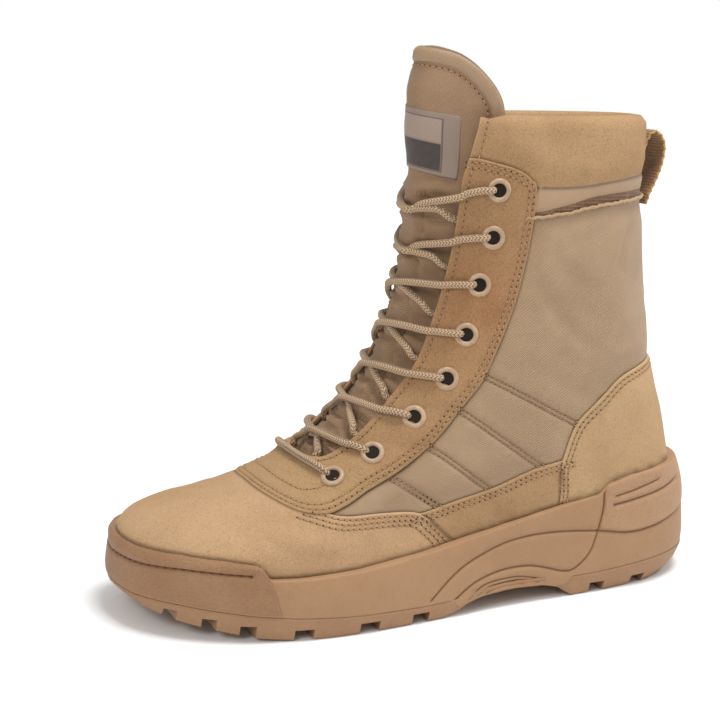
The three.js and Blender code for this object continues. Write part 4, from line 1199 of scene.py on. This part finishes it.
arc_top = np.array([p for p in tongue_arc if p[0] < BINDING_END])
binding_ring = loop_of(arc_top, binding_inner[::-1], binding_inner * (1, -1), (arc_top * (1, -1))[::-1])
panel("tongue_binding", binding_ring, on_tongue, BINDING, top=0.7, thick=3.4, under=0.2,
      cell=1.8, edge=2.0, stretch=TONGUE_CHART, relief=crowned(0.9, 3.2))
panel("tongue_binding_back", binding_ring, behind_tongue, BINDING, top=0.4, thick=3.0,
      under=0.2, cell=2.6, edge=2.2, stretch=TONGUE_CHART, outer=False)

LABEL_CORNERS = [(-0.30, -0.13), (0.0, 0.195), (1.34, 0.195), (1.08, -0.12)]
label_ring = loop_of(*[run([LABEL_CORNERS[i], LABEL_CORNERS[(i + 1) % 4]], on_tongue, 1.2, False)
                       for i in range(4)])


def label_share(s, a):
    """Place on the label, 0-1 across and 0-1 down."""
    top_left, top_right, foot_right, foot_left = LABEL_CORNERS
    across = (a - top_left[1]) / (top_right[1] - top_left[1])
    top = top_left[0] + (top_right[0] - top_left[0]) * across
    foot = foot_left[0] + (foot_right[0] - foot_left[0]) * across
    return np.stack([across, (s - top) / (foot - top)], -1)


panel("tongue_label", label_ring, on_tongue, LABEL, top=0.9, thick=0.7, under=0.9, cell=1.4,
      edge=0.4, stretch=TONGUE_CHART, chart=label_share,
      relief=lambda s, a, where, gap: tongue_relief(s, a, where, gap + 10.0) * 0.85)


# ------------------------------------------------------------------ tubes
def ring_faces(rows, around):
    """Quads of a tube: rows of points, each row going around."""
    return [(i * around + j, i * around + (j + 1) % around, (i + 1) * around + (j + 1) % around,
             (i + 1) * around + j) for i in range(rows - 1) for j in range(around)]


def tube(path, radius, sides=12, ends=True):
    """A round cord along a dense path: verts, faces and its flat chart (length, turn)."""
    path = np.asarray(path, float)
    heading = unit(np.gradient(path, axis=0))
    normals = [unit(np.cross(heading[0], (0.3, 0.2, 0.9)))]
    for ahead in heading[1:]:
        normals.append(unit(normals[-1] - ahead * (normals[-1] @ ahead)))
    normals = np.array(normals)
    angle = np.linspace(0, 2 * np.pi, sides, endpoint=False)
    radius = np.broadcast_to(np.asarray(radius, float), (len(path),))
    ring = (normals[:, None] * np.cos(angle)[None, :, None]
            + np.cross(heading, normals)[:, None] * np.sin(angle)[None, :, None])
    verts = (path[:, None] + ring * radius[:, None, None]).reshape(-1, 3)
    charts = np.stack(np.meshgrid(lengths_along(path), angle / (2 * np.pi), indexing="ij"), -1).reshape(-1, 2)
    faces = ring_faces(len(path), sides)
    if ends:
        faces.append(tuple(range(sides))[::-1])
        faces.append(tuple((len(path) - 1) * sides + j for j in range(sides)))
    return verts, faces, charts


def smooth_path(points, step):
    """Evenly spaced points of the smooth curve through a row of points."""
    fine = open_curve(points, 24)
    at = lengths_along(fine)
    even = np.linspace(0, at[-1], max(int(at[-1] / step), 2) + 1)
    return np.stack([np.interp(even, at, fine[:, k]) for k in range(3)], -1)


def join(parts):
    """Several (verts, faces, charts) as one."""
    verts, faces, charts, start = [], [], [], 0
    for v, f, c in parts:
        verts.append(v)
        charts.append(c)
        faces += [tuple(i + start for i in face) for face in f]
        start += len(v)
    return np.vstack(verts), faces, np.vstack(charts)


def piece_of(parts, name, material, smooth=True):
    """One piece from several (verts, faces, charts)."""
    verts, faces, charts = join(parts)
    return mesh_piece(name, verts, faces, material, smooth, charts)


# ------------------------------------------------------------------ piping, back stay and pull loop
piping_line = run(round_back(TRIM_LINE), None, 1.5)
beads = np.arange(len(piping_line))
frayed = 0.25 * np.sin(beads * 1.9) + 0.15 * np.sin(beads * 0.7)
piping_path = spots_on(on_last, piping_line, 0.2) + frayed[:, None] * (0, 0, 1)
piece_of([tube(piping_path, 0.85 + 0.12 * np.sin(beads * 2.6), 8)], "piping", PIPING)

stay_ring = loop_of(straight((1.0, 0.962), (4.66, 0.955)), straight((4.66, 0.955), (4.66, 1.045)),
                    straight((4.66, 1.045), (1.0, 1.038)), straight((1.0, 1.038), (1.0, 0.962)))
panel("back_stay", stay_ring, on_last, LOOP_TAPE, top=1.0, under=1.6, cell=2.0, edge=0.6,
      relief=lambda s, a, where, gap: 0.5 * np.clip((s - 1.4) / 0.6, 0, 1))

# y, z of the middle of the tape, from the front of the loop over its top and down the stay
LOOP_LINE = [(111.6, 218.0), (112.6, 222.5), (115.4, 226.6), (119.7, 226.4), (123.4, 220.5), (122.6, 211),
             (119.5, 202.5), (116.6, 196.5), (114.9, 191.0)]
TAPE_HALF, TAPE_THICK = 10.0, 0.85  # half the tape's width, and half its thickness
loop_mid = smooth_path([(0.0, y, z) for y, z in LOOP_LINE], 1.0)
heading = unit(np.gradient(loop_mid, axis=0))
loop_out = np.stack([np.zeros(len(loop_mid)), -heading[:, 2], heading[:, 1]], -1)
if loop_out[len(loop_mid) // 2][1] < 0:
    loop_out = -loop_out
wide = np.linspace(-TAPE_HALF, TAPE_HALF, 15)
thick = TAPE_THICK - 0.35 * np.clip((np.abs(wide) - 9.2) / 0.8, 0, 1)
across = np.array([1.0, 0, 0]) * wide[None, :, None]
front = loop_mid[:, None] + across + loop_out[:, None] * thick[None, :, None]
rear = loop_mid[:, None] + across[:, ::-1] - loop_out[:, None] * thick[None, ::-1, None]
around = np.concatenate([wide, wide[::-1]])
loop_charts = np.stack(np.meshgrid(np.arange(len(loop_mid)) * 1.0, around, indexing="ij"), -1)
pull_loop = mesh_piece("pull_loop_tape", np.concatenate([front, rear], 1).reshape(-1, 3),
                       ring_faces(len(loop_mid), len(around)), LOOP_TAPE,
                       charts=loop_charts[..., ::-1].reshape(-1, 2))
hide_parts("pull_loop")
zigzag = loop_out * (0.55 * np.sin(np.arange(len(loop_mid)) * 1.7))[:, None]
piece_of([tube(loop_mid + (x, 0, 0) + zigzag, 0.5, 6) for x in (-9.9, 9.9)], "pull_loop_edging",
         LOOP_THREAD)

# ------------------------------------------------------------------ eyelets
# radius and height along the ring's rolled section, from the barrel up over the flange
EYELET_SECTION = [(3.3, -4.0), (3.2, -1.0), (3.15, 0.4), (3.25, 0.95), (3.5, 1.4), (3.9, 1.65), (4.4, 1.7),
                  (4.95, 1.5), (5.4, 1.15), (5.62, 0.75), (5.6, 0.45), (5.3, 0.2)]
EYELET_SIDES, HOLE_SIDES = 40, 24
HOLE_RADIUS, HOLE_HEIGHT = 3.3, 0.82


def circle(n, sides, aside):
    """Directions round n."""
    one = unit(np.cross(n, aside))
    two = np.cross(n, one)
    return [one * np.cos(t) + two * np.sin(t) for t in np.linspace(0, 2 * np.pi, sides, endpoint=False)]


def disc(spot, n, radius, sides, aside=(0, 0, 1.0), crown=0.0):
    """A small flat fan facing along n."""
    verts = [spot + n * crown] + [spot + ray * radius for ray in circle(n, sides, aside)]
    return np.array(verts), [(0, 1 + j, 1 + (j + 1) % sides) for j in range(sides)], np.zeros((sides + 1, 2))


def eyelet(s, a):
    """One ring: rolled flange, dished throat, barrel through the facing."""
    middle, n = skin(s, a), outward(s, a)
    rays = circle(n, EYELET_SIDES, (0, 0, 1.0))
    verts = [middle + ray * radius + n * height for radius, height in EYELET_SECTION for ray in rays]
    charts = [(radius * 8, 2 * np.pi * j / EYELET_SIDES) for radius, _ in EYELET_SECTION
              for j in range(EYELET_SIDES)]
    return np.array(verts), ring_faces(len(EYELET_SECTION), EYELET_SIDES), np.array(charts)


for side, k in (("lat", 1), ("med", -1)):
    rings = piece_of([eyelet(s, a * k) for s, a in EYELET_SPOTS], "eyelets_" + side, EYELET_ENAMEL)
    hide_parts(*[f"eyelet_{side}_{i + 1}" for i in range(8)])
# painted shadow: one dark disc inside each eyelet where the hole is in shade
piece_of([disc(on_last(s, a * k, HOLE_HEIGHT), outward(s, a * k), HOLE_RADIUS, HOLE_SIDES)
          for s, a in EYELET_SPOTS for k in (1, -1)], "eyelet_shadows", EYELET_HOLE_SHADOW)

# ------------------------------------------------------------------ lace
LACE = 1.75  # radius
OVER = 3.1  # how far the upper strand of a crossing is lifted
SAG = (0.42, 0.3, 0.1)  # stations by which the top rows hang below their holes


def lace_route(hand):
    """One half of the lace, as (station, place, height): the bar, then every eyelet up to the top.

    It starts on the side that hand gives (1 lateral, -1 medial), and changes side at each row.
    """
    s8, a8 = EYELET_SPOTS[7]
    route = [(s8 - 0.1, 0.0, 3.3), (s8 - 0.08, hand * 0.05, 3.1), (s8 - 0.03, hand * (a8 - 0.05), 3.3),
             (s8, hand * (a8 - 0.028), 2.9), (s8, hand * (a8 - 0.016), 1.0),
             (s8 - 0.02, hand * (a8 - 0.013), -3.0)]
    for k in range(7, 0, -1):
        low_s, low_a = EYELET_SPOTS[k]
        high_s, high_a = EYELET_SPOTS[k - 1]
        start = low_s - 0.38 * (low_s - high_s)
        edge, near = float(throat_half(min(start, 8.2))), float(throat_half(high_s))
        lift = OVER if (hand < 0) == (k >= 3) else 0.0
        sag = SAG[k - 1] if k <= len(SAG) else 0.0
        middle = 0.035 if sag > 0.2 else hand * 0.008
        route += [
            # behind the facing, out at the throat's edge
            (low_s - 0.1, hand * (low_a - 0.02), -5.6), (start + 0.12, hand * (edge + 0.03), -5.4),
            (start + 0.04, hand * (edge - 0.02), -1.8),
            # across the tongue
            (start - 0.12, hand * (edge * 0.72), -0.1 + 0.2 * lift),
            (high_s + 0.45 * (start - high_s) + 0.55 * sag, hand * edge * 0.36, -0.3 + 0.5 * lift),
            (high_s + 0.12 + sag, middle, -0.3 + lift),
            (high_s + 0.04 + 0.8 * sag, -hand * near * 0.45, -0.2 if hand > 0 else 0.9 + lift * 0.4),
            # over the other facing and down its eyelet
            (high_s + 0.05 + 0.35 * sag, -hand * (near - 0.01), 2.4),
            (high_s + 0.04 + 0.15 * sag, -hand * max(high_a - 0.095, near + 0.015), 2.8),
            (high_s + 0.02, -hand * (high_a - 0.048), 3.1), (high_s + 0.01, -hand * (high_a - 0.028), 2.8),
            (high_s, -hand * (high_a - 0.016), 1.0), (high_s - 0.01, -hand * (high_a - 0.013), -3.4)]
        hand = -hand
    s1, a1 = EYELET_SPOTS[0]
    return np.array(route + [(s1 - 0.06, hand * (a1 - 0.005), -5.6)])


lace_halves = [smooth_path(on_last(*lace_route(hand).T), 1.1) for hand in (1, -1)]
lace = piece_of([tube(half, LACE, 14) for half in lace_halves], "lace", LACE_BRAID)
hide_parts("lace_bar", *[f"lace_cross_{k}" for k in range(1, 8)])

# ------------------------------------------------------------------ sole
def wall_chart(u, z):
    return np.stack([u, z], -1)


def sole_lines(curve, step=1.6):
    return run(curve, sole_wall, step)


def at_lateral(points):
    """(y, z) points of the lateral side as (outline place, z)."""
    return [(float(lateral_u(y)), z) for y, z in points]


def at_medial(points):
    """(y, z) points of the medial side as (outline place, z)."""
    return [(float(medial_u(y)), z) for y, z in points]


def at_behind(points):
    """The same, with the outline place counted back from the heel (negative)."""
    return [(u - GIRTH, z) for u, z in at_medial(points)]


girth = np.linspace(-1.0, GIRTH + 1.0, 420)  # the ends lap over each other at the heel
edge_y = outline_point(girth)[:, 1]
ground_line, low_line, high_line, _, _ = side_at(edge_y)
arch = np.clip((edge_y + 5.0) / 7.0, 0, 1) * np.clip((66.0 - edge_y) / 9.0, 0, 1)
foot_line = low_line + (ground_line + 0.6 - low_line) * arch
wall_ring = np.vstack([np.stack([girth, foot_line], -1), np.stack([girth, high_line], -1)[::-1]])
# grooves of the sole's side: (y, z) points, width, depth
SWEEPS = [
    ([(-16.5, 10.6), (-6, 19.5), (4.2, 25.6), (22.6, 31.8), (39, 34), (56.8, 34), (79.6, 32), (99.3, 29.2),
      (116.7, 30.6), (142, 36)], 1.1, 1.0),
    ([(83.2, 50.6), (82.6, 43), (79.6, 31.4), (75.4, 21.2), (67.5, 14.4), (60.4, 13.6), (49.7, 16.6),
      (38.7, 19), (23.5, 18.8), (8.2, 15.2), (-3, 8.6)], 1.1, 1.0),
    ([(5, 7.6), (14.2, 13.2), (30.8, 14.4), (40.4, 13.0), (49.1, 10.2)], 0.8, 0.8),
    ([(10, 8.6), (17, 11.6), (30, 12.6), (39, 11.6), (46, 9.8)], 0.7, 0.7),
    ([(15, 8.8), (21, 10.4), (30, 11.0), (37, 10.2)], 0.6, 0.5),
]
sole_channels = []
for line, width, depth in SWEEPS:
    for flip, heel_end in ((at_lateral, 0.4), (at_medial, GIRTH - 0.4)):
        round_heel = [(heel_end, 37.4)] if line[-1][0] > 140 else []
        sole_channels.append((sole_lines(flip(line) + round_heel, 1.2), width, depth))


def sole_relief(u, z, where, gap):
    """Hollow at the waist, full at the foot, and cut back where the two guards sit."""
    y = where[:, 1]
    waist = gauss(y - 25, 26) * gauss(z - 22, 9)
    heel_seat = np.clip((y - 87.0) / 3.0, 0, 1) * np.clip((z - 41.5) / 2.5, 0, 1)
    heel_seat = heel_seat * np.clip((58.0 - z) / 2.0, 0, 1)
    toe_seat = np.clip((-100.5 - y) / 3.0, 0, 1) * gauss(z - 31.4, 3.6)
    foot = 0.25 * np.clip((12.0 - z) / 3.0, 0, 1)
    return -1.7 * (heel_seat + toe_seat) - 0.5 * waist + 0.12 * (1 - gauss(gap, 3.0)) + foot


sole_side = panel("midsole_wall", wall_ring, sole_wall, SOLE_RUBBER, top=0.0, thick=7.5,
                  under=0.0, edge=0.7, stretch=(1.0, 1.0), channels=sole_channels, relief=sole_relief,
                  chart=wall_chart)
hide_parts("midsole")


def along_guard(heights, end_y):
    """A height line round the toe, between the two places where y is end_y."""
    first, last = lateral_u(end_y), medial_u(end_y)
    return [(float(u), float(z)) for u, z in zip(girth, heights) if first < u < last]


GUARD_END = [(-96.5, 28.0), (-94.0, 20.0), (-91.8, 12.6)]
GUARD_SHOULDER = [(-96.5, 28.0), (-100.5, 34.6)]
GUARD_SLIT = [(-105.5, 31.0), (-120, 31.8), (-132, 32.2), (-144, 31.4)]
guard_ring = loop_of(
    sole_lines(at_lateral(GUARD_END), 1.4),
    sole_lines(along_guard(low_line + 1.4, -92.5)[::4], 1.8),
    sole_lines(at_medial(GUARD_END[::-1]), 1.4), sole_lines(at_medial(GUARD_SHOULDER), 1.4),
    sole_lines(along_guard(high_line - 0.05, -102.0)[::-1][::4], 1.8),
    sole_lines(at_lateral(GUARD_SHOULDER[::-1]), 1.4))
toe_point = (float(OUTLINE_AT[TOE_INDEX]), 30.0)
slit = sole_lines(at_lateral(GUARD_SLIT) + [toe_point] + at_medial(GUARD_SLIT[::-1]))
panel("toe_guard", guard_ring, sole_wall, GUARD_RUBBER, top=1.0, thick=1.4, cell=1.8,
      edge=0.55, stretch=(1.0, 1.0), channels=[(slit, 0.85, 1.25)], chart=wall_chart,
      relief=lambda u, z, where, gap: 0.8 * gauss(z - 34.4, 1.7) * np.clip((-99.0 - where[:, 1]) / 4.0, 0, 1))

HEEL_TOP = [(84.9, 54.4), (92, 56.3), (104, 58.9), (121, 60.8), (136, 60.8), (147, 60.3)]
HEEL_FRONT = [(83.4, 50.6), (82.9, 43), (80.6, 33.2)]
HEEL_FOOT = [(80.6, 33.2), (99.3, 30.2), (116.7, 31.6), (142, 37), (149, 39)]
heel_ring = loop_of(
    sole_lines(at_lateral(HEEL_FRONT)),
    sole_lines(at_lateral(HEEL_FOOT) + [(0.0, 40.5)] + at_behind(HEEL_FOOT[::-1])),
    sole_lines(at_behind(HEEL_FRONT[::-1])), sole_lines(at_behind([HEEL_FRONT[0], HEEL_TOP[0]])),
    sole_lines(at_behind(HEEL_TOP) + [(0.0, 60.2)] + at_lateral(HEEL_TOP[::-1])),
    sole_lines(at_lateral([HEEL_TOP[0], HEEL_FRONT[0]])))
HEEL_SLITS = [([(88.9, 44.4), (103, 46.3), (118, 48.8), (133, 51.8)], 1.2, 1.3),
              ([(90.0, 48.8), (99, 50.4), (108, 52.4), (117, 54.4)], 1.0, 1.0)]
# its lighter rubber is a painted highlight
panel("heel_guard", heel_ring, sole_wall, HEEL_RUBBER_LIT, top=0.7, thick=1.0,
      stretch=(1.0, 1.0), chart=wall_chart,
      channels=[(sole_lines(pick(points), 1.2), width, depth) for pick in (at_lateral, at_behind)
                for points, width, depth in HEEL_SLITS])

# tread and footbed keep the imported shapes, with softened arrises and their own finish
for node, finish in (("outsole", TREAD_RUBBER), ("insole", FOOTBED)):
    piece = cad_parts[node]
    piece.data.materials.clear()
    piece.data.materials.append(finish)
    soften = piece.modifiers.new("soften", "BEVEL")
    soften.width, soften.segments = 0.5 * MM, 2
    soften.limit_method, soften.angle_limit = "ANGLE", 0.6

# ------------------------------------------------------------------ stitching
def outer_surface():
    """The outer pieces together, to be felt for by a ray."""
    corners, faces, start = [], [], 0
    for piece in outer_pieces:
        co = np.empty(len(piece.data.vertices) * 3)
        piece.data.vertices.foreach_get("co", co)
        corners += [Vector(p) for p in co.reshape(-1, 3)]
        faces += [tuple(i + start for i in p.vertices) for p in piece.data.polygons]
        start += len(piece.data.vertices)
    return BVHTree.FromPolygons(corners, faces)


surface = outer_surface()
RAY_START, RAY_REACH = 7.0, 12.0  # the ray starts above the last's surface and looks back in


def touch(place, points):
    """Where points of a chart land on the outermost piece, and the way out from there."""
    foot = spots_on(place, points)
    n = unit(spots_on(place, points, 1.0) - foot)
    out = []
    for p, d in zip(foot, n):
        hit = surface.ray_cast(Vector((p + d * RAY_START) * MM), Vector(-d), RAY_REACH * MM)[0]
        out.append(p if hit is None else np.array(hit) / MM)
    return np.array(out), n


def stitch(one, two, n, radius):
    """A short raised thread from hole to hole."""
    shares = np.array([0.0, 0.22, 0.5, 0.78, 1.0])
    rise = np.array([-0.35, 0.12, 0.26, 0.12, -0.35])
    path = one[None] + (two - one)[None] * shares[:, None] + n[None] * (rise * radius / 0.36)[:, None]
    return tube(path, radius * np.array([0.7, 1.0, 1.05, 1.0, 0.7]), 6, ends=False)


def needle_hole_shade(spot, n, radius):
    """A dark disc beside a stitch: painted shade of its needle hole."""
    return disc(spot + n * 0.05, n, radius, 6, (0.31, 0.17, 0.93), 0.01)


threads, hole_shades = [], []


def sew(line, place=on_last, pitch=3.0, length=2.1, radius=0.34, hole=0.52, into=(threads, hole_shades)):
    """Stitches along a line; those that would lie behind the sole's wall or over a gap are left out."""
    points = seam(line, place, pitch, False) if len(line) > 1 else line
    ahead = np.gradient(points, axis=0) * (length / pitch) * 0.5
    one, n1 = touch(place, points - ahead)
    two, n2 = touch(place, points + ahead)
    for a, b, n in zip(one, two, unit(n1 + n2)):
        buried = place is on_last and min(a[2], b[2]) < side_at(a[1])[2] - 0.5
        if buried or np.linalg.norm(b - a) > 2 * length:
            continue
        into[0].append(stitch(a, b, n, radius))
        into[1].append(needle_hole_shade(a - (b - a) * 0.1, n, hole))


for row in facing_rows + counter_rows + wing_rows:
    sew(row)
for row in collar_rows:
    sew(row, rolled_rim)
for row in band_rows:
    sew(row)
for row in quilt_pairs:
    sew(row, pitch=2.6, length=1.9)
sew(sideways(on_tongue, binding_line, 1.4), on_tongue, 3.0, 2.3)
piece_of(threads, "seam_stitches", SEAM_THREAD)
piece_of(hole_shades, "needle_hole_shades", NEEDLE_HOLE_SHADE, smooth=False)
guard_threads = []
sew(slit, sole_wall, 4.4, 2.0, 0.5, into=(guard_threads, []))
piece_of(guard_threads, "guard_stitches", RED_THREAD)

# ------------------------------------------------------------------ floor
FLOOR_HALF, FLOOR_DEPTH = 3.0, 0.0005  # metres; it lies a hair below the sole
PAPER, PAPER_SHADE, GLOW = (0.93,) * 3, (0.915,) * 3, (0.55,) * 3
floor_mesh = bpy.data.meshes.new("floor")
floor_corners = [(x * FLOOR_HALF, y * FLOOR_HALF, -FLOOR_DEPTH)
                 for x, y in ((-1, -1), (1, -1), (1, 1), (-1, 1))]
floor_mesh.from_pydata(floor_corners, [], [(0, 1, 2, 3)])
paper = Paint("floor_paper", PAPER, 0.9, Specular_IOR_Level=0.1, Emission_Strength=1.0)
faint = paper.noise(paper.place(), 0.01, 2.0)
away = paper.add("ShaderNodeVectorMath", {"operation": "LENGTH"}, paper.place(), out="Value")
# painted light: the floor glows, more the farther from the boot, so the far floor reads white
paper.put(paper.shader, "Emission Color", paper.mix(away.ramp(330.0, 1100.0), (0.0, 0.0, 0.0), GLOW))
floor_mesh.materials.append(paper.finish(paper.mix(faint, PAPER, PAPER_SHADE)))
floor = bpy.data.objects.new("floor", floor_mesh)
bpy.context.scene.collection.objects.link(floor)

bpy.context.view_layer.update()
